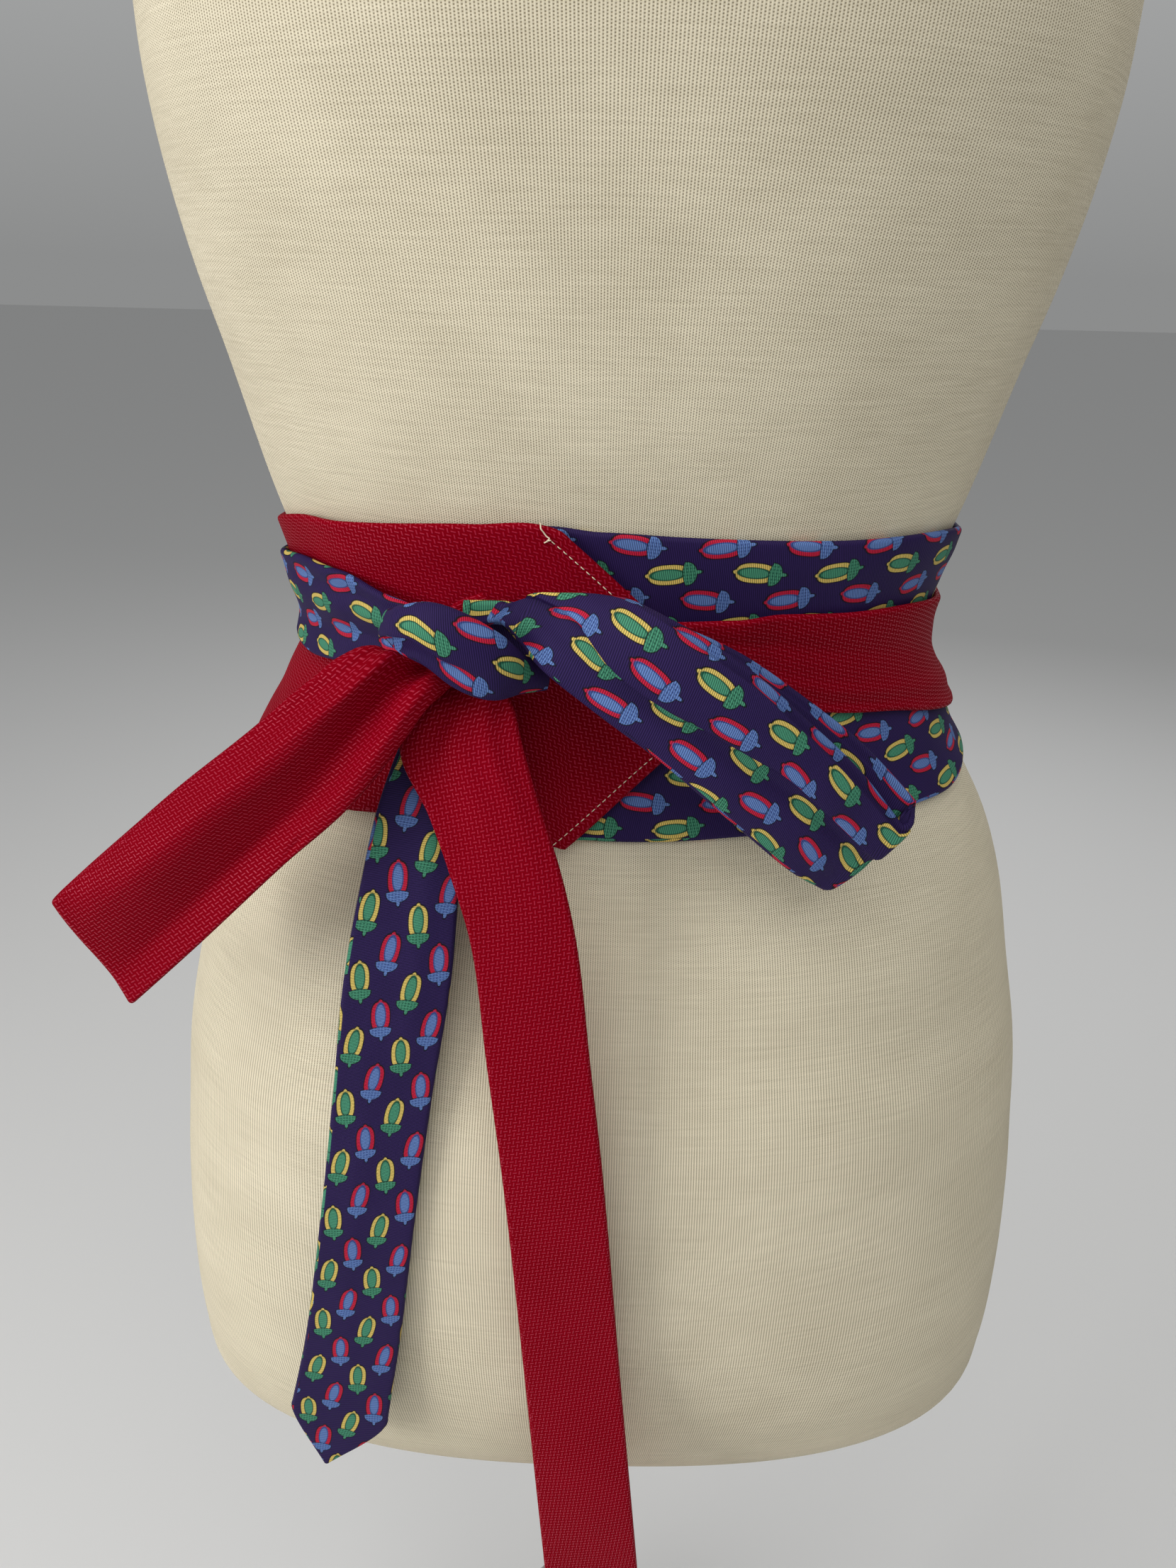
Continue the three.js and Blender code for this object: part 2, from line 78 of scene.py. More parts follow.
# ---- Floor and light ----
# A plain pale floor runs out to a pale horizon. A window stands on the left at waist height, a wide soft
# light hangs above in front, a weak one on the right opens the shadows, and one lights the back.
def put(tree, kind, inputs=(), **settings):
    """Adds a shader node. Its settings are set by name, and each input gets a value or a link."""
    made = tree.nodes.new("ShaderNode" + kind)
    for key, value in settings.items():
        setattr(made, key, value)
    for key, value in dict(inputs).items():
        value = getattr(value, "socket", value)
        if isinstance(value, bpy.types.NodeSocket):
            tree.links.new(value, made.inputs[key])
        else:
            made.inputs[key].default_value = value
    return made


class Number:
    """A number in a shader tree. To reckon with it adds Math nodes, and the result is a Number too."""

    def __init__(self, tree, socket):
        self.tree, self.socket = tree, socket

    def math(self, operation, *others):
        node = put(self.tree, "Math", dict(enumerate([self, *others])), operation=operation)
        return Number(self.tree, node.outputs[0])

    def __add__(self, other):
        return self.math("ADD", other)

    def __sub__(self, other):
        return self.math("SUBTRACT", other)

    def __mul__(self, other):
        return self.math("MULTIPLY", other)

    def __truediv__(self, other):
        return self.math("DIVIDE", other)

    def between(self, low, high, at_low=0.0, at_high=1.0):
        """at_low up to low, at_high from high on, and a straight line between."""
        node = put(self.tree, "MapRange", {0: self, 1: low, 2: high, 3: at_low, 4: at_high})
        return Number(self.tree, node.outputs[0])

    def fades(self, near, far):
        """1 up to near, 0 from far on, and a straight fall between."""
        return self.between(near, far, 1.0, 0.0)


def finish_of(name, **values):
    """A material with one Principled shader: returns the material, its tree and the shader."""
    material = bpy.data.materials.new(name)
    material.use_nodes = True
    shader = material.node_tree.nodes["Principled BSDF"]
    for key, value in values.items():
        shader.inputs[key.replace("_", " ")].default_value = value
    return material, material.node_tree, shader


BELT_MIDDLE = Vector((0, -0.05, WAIST_HEIGHT))
LIGHTS = [  # name, place, width and height in metres, watts, colour; all are turned to the belt
    ("window", (-1.9, -1.15, 1.5), (1.0, 1.5), 29, (1.0, 0.985, 0.955)),
    ("ceiling", (-0.2, -1.5, 2.9), (2.4, 2.0), 34, (1.0, 0.985, 0.955)),
    ("fill", (2.3, -1.6, 1.7), (2.0, 2.0), 2.5, (1.0, 0.97, 0.86)),
    ("from_behind", (0.8, 2.4, 2.4), (2.0, 1.6), 20, (1.0, 1.0, 1.0)),
]
for name, place, size, watts, color in LIGHTS:
    lamp = placed(name, bpy.data.lights.new(name, "AREA"))
    lamp.data.shape = "RECTANGLE"
    lamp.data.size, lamp.data.size_y = size
    lamp.data.energy = watts
    lamp.data.color = color
    lamp.location = place
    lamp.rotation_euler = (BELT_MIDDLE - Vector(place)).to_track_quat("-Z", "Y").to_euler()

HORIZON, ZENITH = 0.64, 1.3  # the backdrop's brightness; the horizon is as dark as the far floor
ZENITH_RISE = 0.5  # how far up the brightness grows, where 1 is straight up
ROOM_LIGHT = (0.41, 0.415, 0.415, 1)
ROOM_SHARE = 0.55  # how much of the light that the backdrop shows falls on the object
room = bpy.data.worlds.new("room")
bpy.context.scene.world = room
room.use_nodes = True
sky = room.node_tree
direction = put(sky, "TexCoord").outputs["Generated"]
rise = Number(sky, put(sky, "SeparateXYZ", {"Vector": direction}).outputs["Z"])
seen = Number(sky, put(sky, "LightPath").outputs["Is Camera Ray"])
brightness = rise.between(0.0, ZENITH_RISE, HORIZON, ZENITH) * seen.between(0.0, 1.0, ROOM_SHARE, 1.0)
sky.links.new(brightness.socket, sky.nodes["Background"].inputs["Strength"])
sky.nodes["Background"].inputs["Color"].default_value = ROOM_LIGHT
bpy.context.scene.view_settings.view_transform = "Standard"

FLOOR_REACH = 30  # metres from the pole
FLOOR_TONE = 0.78  # how much of the light the floor gives back
floor_mesh = bpy.data.meshes.new("floor")
floor_corners = [(x * FLOOR_REACH, y * FLOOR_REACH, 0) for x, y in ((-1, -1), (1, -1), (1, 1), (-1, 1))]
floor_mesh.from_pydata(floor_corners, [], [(0, 1, 2, 3)])
floor = placed("floor", floor_mesh)
floor_finish, _, _ = finish_of("pale_floor", Base_Color=(FLOOR_TONE, FLOOR_TONE, FLOOR_TONE, 1),
                               Roughness=0.9, Specular_IOR_Level=0.0)
floor_mesh.materials.append(floor_finish)


# ---- Padded form ----
# The torso is a stiff padded shell from shoulder to hip, with no arms, and it is covered all over in
# cream cotton jersey pulled tight. It slips over the top of the stand's pole.
FORM_SECTIONS = [  # height, half width, depth in front, depth behind, squareness of the oval
    (-349, 150, 64, 84, 2.5), (-343, 165, 73, 93, 2.5), (-330, 173, 85, 103, 2.5),
    (-299, 175.5, 100, 112, 2.45), (-254, 174.5, 110, 118, 2.4), (-211, 171.5, 113, 120, 2.35),
    (-188, 169, 114, 120, 2.3), (-150, 164, 112, 116, 2.3), (-114, 156, 107, 108, 2.25),
    (-81, 148, 102, 98, 2.25), (-60, 140, 97, 90, 2.25), (-38, 127.5, 92, 82, 2.25),
    (-15, 114.5, 87, 76, 2.25), (0, 106.5, 86, 74, 2.25), (15, 104.5, 86.5, 73.5, 2.25),
    (30, 108, 88, 73.5, 2.25), (57, 116.5, 92, 75, 2.25), (95, 126.5, 100, 80, 2.25),
    (118, 133, 105, 84, 2.25), (145, 138.5, 112, 88, 2.25), (168, 141, 118, 93, 2.25),
    (200, 142, 123, 100, 2.2), (230, 146, 124, 104, 2.2), (260, 155.5, 118, 106, 2.2),
    (300, 170, 105, 104, 2.2), (330, 176, 86, 94, 2.2), (350, 172, 70, 83, 2.2),
    (366, 155, 60, 75, 2.15), (382, 122, 54, 69, 2.1), (398, 86, 51, 64, 2.05),
    (412, 68, 52, 60, 2), (440, 61, 56, 59, 2),
]


def smooth_table(rows, at):
    """The table's other columns at any place in its first one: cubics through the rows, where the slope at
    a row is that between its two neighbours, and the ends have no curvature."""
    table = np.array(sorted(rows), float)
    key, values = table[:, 0], table[:, 1:]
    at = np.clip(np.asarray(at, float), key[0], key[-1])
    i = np.clip(np.searchsorted(key, at, side="right") - 1, 0, len(key) - 2)
    low, high = key[i], key[i + 1]
    first, last = i == 0, i == len(key) - 2
    before = np.where(first, i + 1, i - 1)
    after = np.where(last, i, np.minimum(i + 2, len(key) - 1))
    lean = (high - low) / 2 / (low - key[before])
    tail = (high - low) / 2 / (key[after] - high)
    p = (at - low) / (high - low)
    shares = (
        (before, -lean * p**3 + 2 * lean * p**2 - lean * p),
        (i, (1 + lean) * p**3 - (1.5 + 2 * lean) * p**2 + (lean - 0.5) * p + 1),
        (i + 1, (1.5 + tail) * p**2 - (1 + tail) * p**3 + 0.5 * p),
        (after, tail * p**3 - tail * p**2),
    )
    return sum(values[row] * share[..., None] for row, share in shares)


def covered(points):
    """The length of the line through the points, up to each of them."""
    return np.concatenate([[0], np.cumsum(np.linalg.norm(np.diff(points, axis=0), axis=-1))])


def form_point(turn, z):
    """The form's skin. At each height the section is an oval |x/half|^n + |y/depth|^n = 1, met by the ray
    from the pole at that turn; the depth in front and the one behind differ."""
    half, front, back, power = np.moveaxis(smooth_table(FORM_SECTIONS, z), -1, 0)
    angle = np.radians(turn)
    side = np.abs(np.sin(angle)) / half
    depth = np.abs(np.cos(angle)) / np.where(np.cos(angle) > 0, front, back)
    reach = (side**power + depth**power) ** (-1 / power)
    return np.stack([reach * np.sin(angle), -reach * np.cos(angle), z + 0 * angle], -1)


def surface(name, points, uv):
    """A tube of mesh over a grid of points, in mm from the waist. Rows run along the piece, columns go
    round it, and the last column joins the first. The UV grid, in mm of cloth, has one column more.
    Coincident points are merged, so ends that are drawn together close."""
    rows, columns = points.shape[:2]
    i, j = np.meshgrid(np.arange(rows - 1), np.arange(columns), indexing="ij")
    k = (j + 1) % columns
    quads = np.stack([i * columns + j, i * columns + k, (i + 1) * columns + k, (i + 1) * columns + j], -1)
    corners = np.stack([uv[i, j], uv[i, j + 1], uv[i + 1, j + 1], uv[i + 1, j]], -2)
    mesh = bpy.data.meshes.new(name)
    mesh.from_pydata(points.reshape(-1, 3) / 1000 + [0, 0, WAIST_HEIGHT], [], quads.reshape(-1, 4))
    mesh.uv_layers.new(name="cloth").uv.foreach_set("vector", corners.reshape(-1).astype(np.float32))
    mesh.polygons.foreach_set("use_smooth", np.ones(len(mesh.polygons), bool))
    work = bmesh.new()
    work.from_mesh(mesh)
    bmesh.ops.remove_doubles(work, verts=work.verts, dist=1e-6)
    if work.calc_volume(signed=True) < 0:
        bmesh.ops.reverse_faces(work, faces=work.faces)
    work.to_mesh(mesh)
    work.free()
    return placed(name, mesh)


def belongs(piece, finish, slot, *nodes):
    """What every piece gets: its finish, its body and the solid it stands for. Its slot argument is not used.
    """
    piece.data.materials.append(finish)
    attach(piece, "root")
    if nodes:
        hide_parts(*nodes)


def group_of(name, inputs, outputs):
    """A shader node group with named sockets: returns the group, its input sockets and its output node."""
    tree = bpy.data.node_groups.new(name, "ShaderNodeTree")
    for sockets, in_out in ((inputs, "INPUT"), (outputs, "OUTPUT")):
        for label, kind in sockets:
            tree.interface.new_socket(label, in_out=in_out, socket_type="NodeSocket" + kind)
    given = tree.nodes.new("NodeGroupInput").outputs
    return tree, given, tree.nodes.new("NodeGroupOutput").inputs


def grouped(tree, group, **values):
    """A node of a shader node group, with its inputs set by name or linked: returns its outputs."""
    return put(tree, "Group", values, node_tree=group).outputs


def mixed(tree, share, first, second, blend="MIX"):
    """The two colours mixed by a share: returns the colour."""
    return put(tree, "Mix", {0: share, 6: first, 7: second}, data_type="RGBA", blend_type=blend).outputs[2]


def across_and_along(tree, vector):
    """A place's two numbers."""
    split = put(tree, "SeparateXYZ", {"Vector": vector}).outputs
    return Number(tree, split["X"]), Number(tree, split["Y"])


def cloth_place(tree):
    """The piece's own UV map, in mm of cloth: returns the place and its two numbers."""
    vector = put(tree, "UVMap", uv_map="cloth").outputs["UV"]
    return vector, *across_and_along(tree, vector)


def feed(tree, shader, height, depth, strength=0.8, **values):
    """Links values to the shader's inputs, and bump of the height, 0 to 1, over a depth in metres."""
    for key, value in values.items():
        tree.links.new(getattr(value, "socket", value), shader.inputs[key.replace("_", " ")])
    bump = put(tree, "Bump", {"Height": height, "Distance": depth, "Strength": strength})
    tree.links.new(bump.outputs["Normal"], shader.inputs["Normal"])


# Slow, cloudy unevenness: a mask round 0.5 that varies over spots of the given size, in mm.
clouds, given, gives = group_of("clouds", [("Vector", "Vector"), ("Spot", "Float")], [("Mask", "Float")])
cloud_scale = put(clouds, "Math", {0: 1.0, 1: given["Spot"]}, operation="DIVIDE").outputs[0]
cloud_noise = put(clouds, "TexNoise", {"Vector": given["Vector"], "Detail": 3.0, "Scale": cloud_scale})
clouds.links.new(cloud_noise.outputs["Fac"], gives["Mask"])


def jersey_finish():
    """Cream single jersey: upright columns of small stitches with pinholes in a staggered lattice, with
    painted shade darkening the colour where it sinks in. Its yarn is thick and thin, which shows as short
    level streaks."""
    material, tree, shader = finish_of("cream_jersey", Roughness=0.95, Specular_IOR_Level=0.2)
    vector, across, along = cloth_place(tree)
    wale, course, hole = 0.76, 0.66, 0.24  # mm between columns, mm between rows, mm to a pinhole's rim
    column = across / wale
    row = along / course + column.math("FLOOR").math("PINGPONG", 1.0) * 0.5
    from_x = (column.math("FRACT") - 0.5) * wale
    from_y = (row.math("FRACT") - 0.5) * course
    stitch = (from_x * from_x + from_y * from_y).math("SQRT").between(0.04, hole)
    leg = (column * math.pi).math("SINE").math("ABSOLUTE")
    height = stitch - leg * 0.25
    level = put(tree, "Mapping", {"Vector": vector, "Scale": (0.055, 1.1, 1.0)}).outputs["Vector"]
    streak = Number(tree, put(tree, "TexNoise", {"Vector": level, "Scale": 1.0, "Detail": 2.0}).outputs["Fac"])
    cloud = Number(tree, grouped(tree, clouds, Vector=vector, Spot=40.0)["Mask"])
    # Painted shade: the colour darkens in the pinholes and the furrows through them, mixed with the yarn's
    # streaks and cloudy tone.
    shade = (height * 0.62 + streak * 0.28 + cloud * 0.25).between(0.1, 0.95)
    color = mixed(tree, shade, (0.24, 0.195, 0.11, 1), (0.87, 0.795, 0.62, 1))
    feed(tree, shader, height + streak * 0.5, 0.00016, Base_Color=color)
    return material


FORM_COLUMNS, FORM_ROWS = 200, 300
ROW_SHIFT = 0.06  # rows are moved to both ends by this share of the height, where the skin bends most
UNDERSIDE_RINGS, LID_RINGS = 13, 7
FORM_GIRTH = 640  # mm of jersey round the form, stretched where the form is wider
BORE_RADIUS, BORE_DEPTH = 13.5, 90
form_low, form_high = FORM_SECTIONS[0][0], FORM_SECTIONS[-1][0]
form_turns = np.linspace(-180, 180, FORM_COLUMNS + 1)  # the seam is at the back
form_levels = np.linspace(0, 1, FORM_ROWS)
form_levels = form_levels - ROW_SHIFT * np.sin(2 * np.pi * form_levels)
skin = form_point(form_turns[None, :-1], form_low + (form_high - form_low) * form_levels[:, None])
bore = np.stack([BORE_RADIUS * np.sin(np.radians(form_turns[:-1])),
                 -BORE_RADIUS * np.cos(np.radians(form_turns[:-1])), np.zeros(FORM_COLUMNS)], -1)
bore_end = [0, 0, form_low + BORE_DEPTH]
under_share = np.linspace(0, 1, UNDERSIDE_RINGS + 1)[:-1, None, None]
underside = bore * (1 - under_share) + (skin[0] - [0, 0, form_low]) * under_share + [0, 0, form_low]
over_share = np.linspace(0, 1, LID_RINGS + 1)[1:, None, None]
lid = skin[-1] * (1 - over_share) + np.array([0, 0, form_high]) * over_share
form_points = np.concatenate([(bore * 0 + bore_end)[None], (bore + bore_end)[None], underside, skin, lid])
form_uv = np.stack(np.broadcast_arrays(form_turns[None] / 360 * FORM_GIRTH,
                                       covered(form_points[:, 0])[:, None]), -1)
form = surface("padded_form", form_points, form_uv)
belongs(form, jersey_finish(), "jersey", "form_body")


# ---- Wooden stand ----
# A turned pole stands in a turned hub with a domed top, and four cut legs with rounded edges are screwed
# to the hub. All of it is stained dark brown and varnished.
def wood_finish():
    """Dark stained wood under satin varnish: long upright streaks of grain and fine pores."""
    material, tree, shader = finish_of("dark_wood", Coat_Weight=0.5, Coat_Roughness=0.18)
    place = put(tree, "TexCoord").outputs["Object"]
    stretched = put(tree, "Mapping", {"Vector": place, "Scale": (90, 90, 7)}).outputs["Vector"]
    noise = put(tree, "TexNoise", {"Vector": stretched, "Scale": 1.0, "Detail": 6.0, "Distortion": 0.6})
    grain = Number(tree, noise.outputs["Fac"])
    color = mixed(tree, grain.between(0.35, 0.68), (0.020, 0.007, 0.004, 1), (0.105, 0.036, 0.017, 1))
    feed(tree, shader, grain, 0.0004, 0.35, Base_Color=color, Roughness=grain.between(0.3, 0.7, 0.26, 0.42))
    return material


varnished = wood_finish()
HUB_TOP = 478  # height above the floor, in mm
HUB_OUTSIDE = [  # radius, depth below the top
    (14, 3), (26, 11), (34, 24), (37.5, 40), (34, 56), (25, 66), (22, 72), (29, 80), (30.2, 84), (30, 170),
    (28.5, 175), (24, 180), (16, 196), (7, 205), (0, 208),
]
HUB_RINGS = 113  # points of the outside's profile
POLE_RADIUS, POLE_CHAMFER, SEAM = 13, 1, 0.45
SOCKET_DEPTH, SOCKET_MOUTH = 60, 3


def turned(name, profile, node, columns=96):
    """A turned piece: its profile of radius and depth below the hub's top, carried round the pole."""
    angle = np.radians(np.linspace(0, 360, columns + 1))[None, :-1]
    radius, depth = np.moveaxis(np.array(profile, float), -1, 0)[..., None]
    z = HUB_TOP - depth - WAIST_HEIGHT * 1000 + 0 * angle
    points = np.stack([radius * np.sin(angle), -radius * np.cos(angle), z], -1)
    made = surface(name, points, np.zeros((len(profile), columns + 1, 2)))
    belongs(made, varnished, "dark_wood", node)


def rounded(points, count):
    """Evenly placed points on the cubics through the given ones."""
    rows = [(k, *point) for k, point in enumerate(points)]
    return smooth_table(rows, np.linspace(0, len(points) - 1, count))


hole = POLE_RADIUS + SEAM
turned("turned_hub", [(0, SOCKET_DEPTH), (hole, SOCKET_DEPTH), (hole, SOCKET_MOUTH)] + [
    (max(radius, 0), depth) for radius, depth in rounded(HUB_OUTSIDE, HUB_RINGS)], "stand_hub")

pole_low, pole_high = (HUB_TOP - end.z * 1000 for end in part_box("stand_pole"))
turned("turned_pole", [
    (0, pole_low), (POLE_RADIUS - POLE_CHAMFER, pole_low), (POLE_RADIUS, pole_low - POLE_CHAMFER),
    (POLE_RADIUS, pole_high + POLE_CHAMFER), (POLE_RADIUS - POLE_CHAMFER, pole_high), (0, pole_high),
], "stand_pole", 64)


def bezier(controls, count):
    """Points of the curve that its control points pull, by Bernstein's weights."""
    t = np.linspace(0, 1, count)[:, None]
    n = len(controls) - 1
    return sum(math.comb(n, k) * t**k * (1 - t) ** (n - k) * np.array(p, float)
               for k, p in enumerate(controls))


LEG_ROOT, LEG_TOE = 30.4, 275  # mm from the pole's axis
LEG_WIDTH, LEG_SECTION, LEG_SQUARENESS = 22, 40, 0.35
leg_top = np.concatenate([
    bezier([(LEG_ROOT, HUB_TOP - 92), (120, HUB_TOP - 86), (190, 170), (249, 34)], 44),
    bezier([(249, 34), (255, 22), (271, 20)], 7)[1:],
    bezier([(271, 20), (LEG_TOE, 18), (LEG_TOE, 10), (271, 0)], 10)[1:],
])
leg_bottom = bezier([(LEG_ROOT, HUB_TOP - 158), (110, HUB_TOP - 178), (170, 110), (231, 0)], len(leg_top))
bend = np.linspace(0, 2 * np.pi, LEG_SECTION, endpoint=False)
corner = np.stack([np.sin(bend), np.cos(bend)], -1)
corner = np.sign(corner) * np.abs(corner) ** LEG_SQUARENESS
leg_middle, leg_half = (leg_top + leg_bottom) / 2, (leg_top - leg_bottom) / 2
side_view = leg_middle[:, None] + leg_half[:, None] * corner[None, :, :1]
leg_points = np.stack([side_view[..., 0], np.broadcast_to(corner[:, 1] * LEG_WIDTH / 2, side_view.shape[:2]),
                       side_view[..., 1]], -1)
leg_ends = [np.broadcast_to(leg_points[k].mean(0), leg_points[k].shape)[None] for k in (0, -1)]
leg_points = np.concatenate([leg_ends[0], leg_points, leg_ends[1]])
for number in range(1, 5):
    swing = math.radians(45 + 90 * (number - 1))
    swung = leg_points @ np.array([[math.cos(swing), math.sin(swing), 0],
                                   [-math.sin(swing), math.cos(swing), 0], [0, 0, 1]])
    leg = surface(f"cut_leg_{number}", swung - [0, 0, WAIST_HEIGHT * 1000],
                  np.zeros((len(leg_points), LEG_SECTION + 1, 2)))
    belongs(leg, varnished, "dark_wood", f"stand_leg_{number}")


# ---- The blades ----
# Each necktie is silk folded round a woollen interlining, so its long edges are soft rolls. The wide blade
# of the navy tie starts under the red one's, whose point ends at the front on the right. The point's slants
# are topstitched by hand in cream thread.
CLOTH = 2.4  # mm thick, folded and lined
SEAM_GAP, FORM_CLEARANCE = 0.45, 0.5  # mm of air between two layers, and under the first
BRIDGE, BRIDGE_MIDDLE, BRIDGE_REACH = 0.6, 5, 46  # mm off the waist, and where by height


def unit(vector):
    """Vectors of length 1 in the same directions."""
    return vector / (np.linalg.norm(vector, axis=-1, keepdims=True) + 1e-12)


def above_form(turn, z, distance):
    """The form's skin moved out along its own normal; the stiff wrap also bridges the waist a little."""
    step = 0.5
    along = form_point(turn + step, z) - form_point(turn - step, z)
    upward = form_point(turn, z + step) - form_point(turn, z - step)
    out = unit(np.cross(along, upward))
    bridge = BRIDGE * np.maximum(0, 1 - ((z - BRIDGE_MIDDLE) / BRIDGE_REACH) ** 2)
    return form_point(turn, z) + out * (distance + bridge)[..., None]


def folded(along, across, folds, fade):
    """The height that folds add to the cloth. A fold is its kind and rows of its place along, the line's
    place across in mm, its width and its height, with cubics between the rows. From the distance d across
    to that line, a ridge is height exp(-(d / width)^2), a trough where the height is negative, and a lap,
    where one part of the cloth lies on the other, is height tanh(d / width). They fade out at their ends."""
    total = np.zeros(np.broadcast(along, across).shape)
    for kind, rows in folds:
        line, width, height = np.moveaxis(smooth_table(rows, along), -1, 0)
        off = (across - line) / width
        first, last = rows[0][0], rows[-1][0]
        share = np.clip(np.minimum(along - first, last - along) / fade, 0, 1)
        total += height * share**2 * (3 - 2 * share) * (np.tanh(off) if kind == "lap" else np.exp(-(off**2)))
    return total


def ripples(along, across, height, seed, wave=38):
    """Slow unevenness of soft cloth: a few crossing sine waves with seeded directions and phases."""
    draw = np.random.default_rng(seed)
    total = np.zeros(np.broadcast(along, across).shape)
    count = 6
    for _ in range(count):
        turn, phase, length = draw.uniform(0, np.pi), draw.uniform(0, 2 * np.pi), draw.uniform(0.6, 1.5) * wave
        total += np.sin((along * np.cos(turn) * 0.6 + across * np.sin(turn)) * 2 * np.pi / length + phase)
    return height * total / count


EDGE_STEPS = 5  # points round each rolled edge
ROUNDED_END = np.array([0, 0.1, 0.3, 0.6, 0.9, 1.2])  # mm from an end to the rows that round it off


def spread(total, step):
    """Places along a length: close together at both ends, which are rounded off, and even between."""
    return np.concatenate([ROUNDED_END, np.arange(2.2, total - 2, step), total - ROUNDED_END[::-1]])


def even_shares(along, width, faces):
    """Where the face's columns lie across, as shares of the width: evenly spread."""
    return np.linspace(0, 1, faces) + 0 * along[:, None]


def tie_cloth(name, middle, stations, faces, width_of, length_of, shares_of=even_shares):
    """A folded tie: a flat tube of cloth round the middle surface. Across, points run over the face from
    edge to edge, round the roll of that edge, back over the underside and round the other roll, and both
    ends are rounded shut. middle(u, v, 0) is the surface without its folds, whose normals give the layers'
    direction. The UV map has the place along the tie in y and, in x, the distance over the cloth from the
    face's middle, both in mm."""
    width = width_of(stations)[:, None]
    along = length_of(stations)[:, None]
    half = CLOTH / 2
    from_end = np.minimum(along - along[0], along[-1] - along)
    thick = half * np.sqrt(np.clip(1 - (1 - np.minimum(from_end / half, 1)) ** 2, 0, 1))
    thick = np.minimum(thick, width / 2)
    roll = np.linspace(np.pi / 2, -np.pi / 2, EDGE_STEPS + 2)[1:-1]
    face = thick + shares_of(along[:, 0], width[:, 0], faces) * (width - 2 * thick)
    across = np.concatenate([face, width - thick + thick * np.cos(roll), face[:, ::-1],
                             thick - thick * np.cos(roll)], 1)
    side = np.concatenate([np.ones(faces), np.sin(roll), -np.ones(faces), -np.sin(roll)])[None] * thick
    u = np.broadcast_to(stations[:, None], across.shape)
    v = across / width
    step_u, step_v = 1e-3 * (stations[-1] - stations[0]), 1e-3
    run = middle(u + step_u, v, 0) - middle(u - step_u, v, 0)
    over = middle(u, v + step_v, 0) - middle(u, v - step_v, 0)
    points = middle(u, v, 1) + unit(np.cross(run, over)) * side[..., None]
    steps = np.linalg.norm(np.roll(points, -1, axis=1) - points, axis=-1)
    around = np.concatenate([0 * width, np.cumsum(steps, axis=1)], 1)
    around -= around[:, faces // 2, None]
    return surface(name, points, np.stack(np.broadcast_arrays(around, along), -1))


STRIP_FADE = 6.0  # degrees over which a fold starts and ends
MEASURED_AT, LENGTH_STEPS = 2.0, 2000  # mm off the form where a strip's length is measured, and how finely


def wound_strip(name, rows, seed, folds=(), ripple=0.3, straight=0, faces=44):
    """A tie wound on the form. Rows give the turn, the heights of its two long edges and its layer, 1 on
    the form; the edges run in curves past the point's straight slants. Folds, placed along by the turn, and
    ripples lift it. A straight of 1 or -1 says which end has the point. Returns the piece, its middle
    surface and its edges."""
    rows = sorted(rows)
    turns = np.array([row[0] for row in rows])

    def edges(turn):
        curved = smooth_table([row[:3] for row in rows], turn)
        if straight == 0:
            return curved
        in_slant = turn > turns[-2] if straight > 0 else turn < turns[1]
        slant = np.stack([np.interp(turn, turns, [row[k] for row in rows]) for k in (1, 2)], -1)
        return np.where(in_slant[..., None], slant, curved)

    def layer_at(turn):
        i = np.clip(np.searchsorted(turns, turn, side="right") - 1, 0, len(turns) - 2)
        share = np.clip((turn - turns[i]) / (turns[i + 1] - turns[i]), 0, 1)
        layers = np.array([row[3] for row in rows], float)
        return layers[i] + (layers[i + 1] - layers[i]) * share**2 * (3 - 2 * share)

    fine = np.linspace(turns[0], turns[-1], LENGTH_STEPS)
    middle_line = above_form(fine, edges(fine).mean(-1), np.full(fine.shape, MEASURED_AT))
    lengths = covered(middle_line)

    def length_of(turn):
        return np.interp(turn, fine, lengths)

    def width_of(turn):
        top, bottom = np.moveaxis(edges(turn), -1, 0)
        return top - bottom

    def middle(turn, v, shaped=1):
        top, bottom = np.moveaxis(edges(turn), -1, 0)
        along, across = length_of(turn), (v - 0.5) * (top - bottom)
        lift = shaped * (folded(turn, across, folds, STRIP_FADE) + ripples(along, across, ripple, seed))
        distance = FORM_CLEARANCE + (layer_at(turn) - 1) * (CLOTH + SEAM_GAP) + CLOTH / 2 + lift
        return above_form(turn, bottom + (top - bottom) * v, distance)

    stations = np.interp(spread(lengths[-1], 1.6), lengths, fine)
    stations = np.unique(np.concatenate([stations, turns[1:-1]]))
    return tie_cloth(name, middle, stations, faces, width_of, length_of), middle, edges



def floats_group():
    """The red silk's figure: in a lattice of cells a raised thread lies along the tie in one cell and
    across it in the next, as a short dash."""
    tree, given, gives = group_of("crossed_floats", [("Vector", "Vector")], [("Dash", "Float")])
    across, along = across_and_along(tree, given["Vector"])
    cell_across, cell_along, lean, slope = 1.38, 1.47, 0.15, 0.2
    straight_x, straight_y = across / cell_across, along / cell_along
    x, y = straight_x + straight_y * slope, straight_y + straight_x * lean
    along_it = (x.math("FLOOR") + y.math("FLOOR")).math("PINGPONG", 1.0)
    from_x, from_y = ((place.math("FRACT") - 0.5).math("ABSOLUTE") for place in (x, y))
    dash_across = from_x.fades(0.38, 0.5) * from_y.fades(0.07, 0.18)
    dash_along = from_y.fades(0.38, 0.5) * from_x.fades(0.07, 0.18)
    both = put(tree, "Mix", {0: along_it, 2: dash_across, 3: dash_along}).outputs[0]
    tree.links.new(both, gives["Dash"])
    return tree


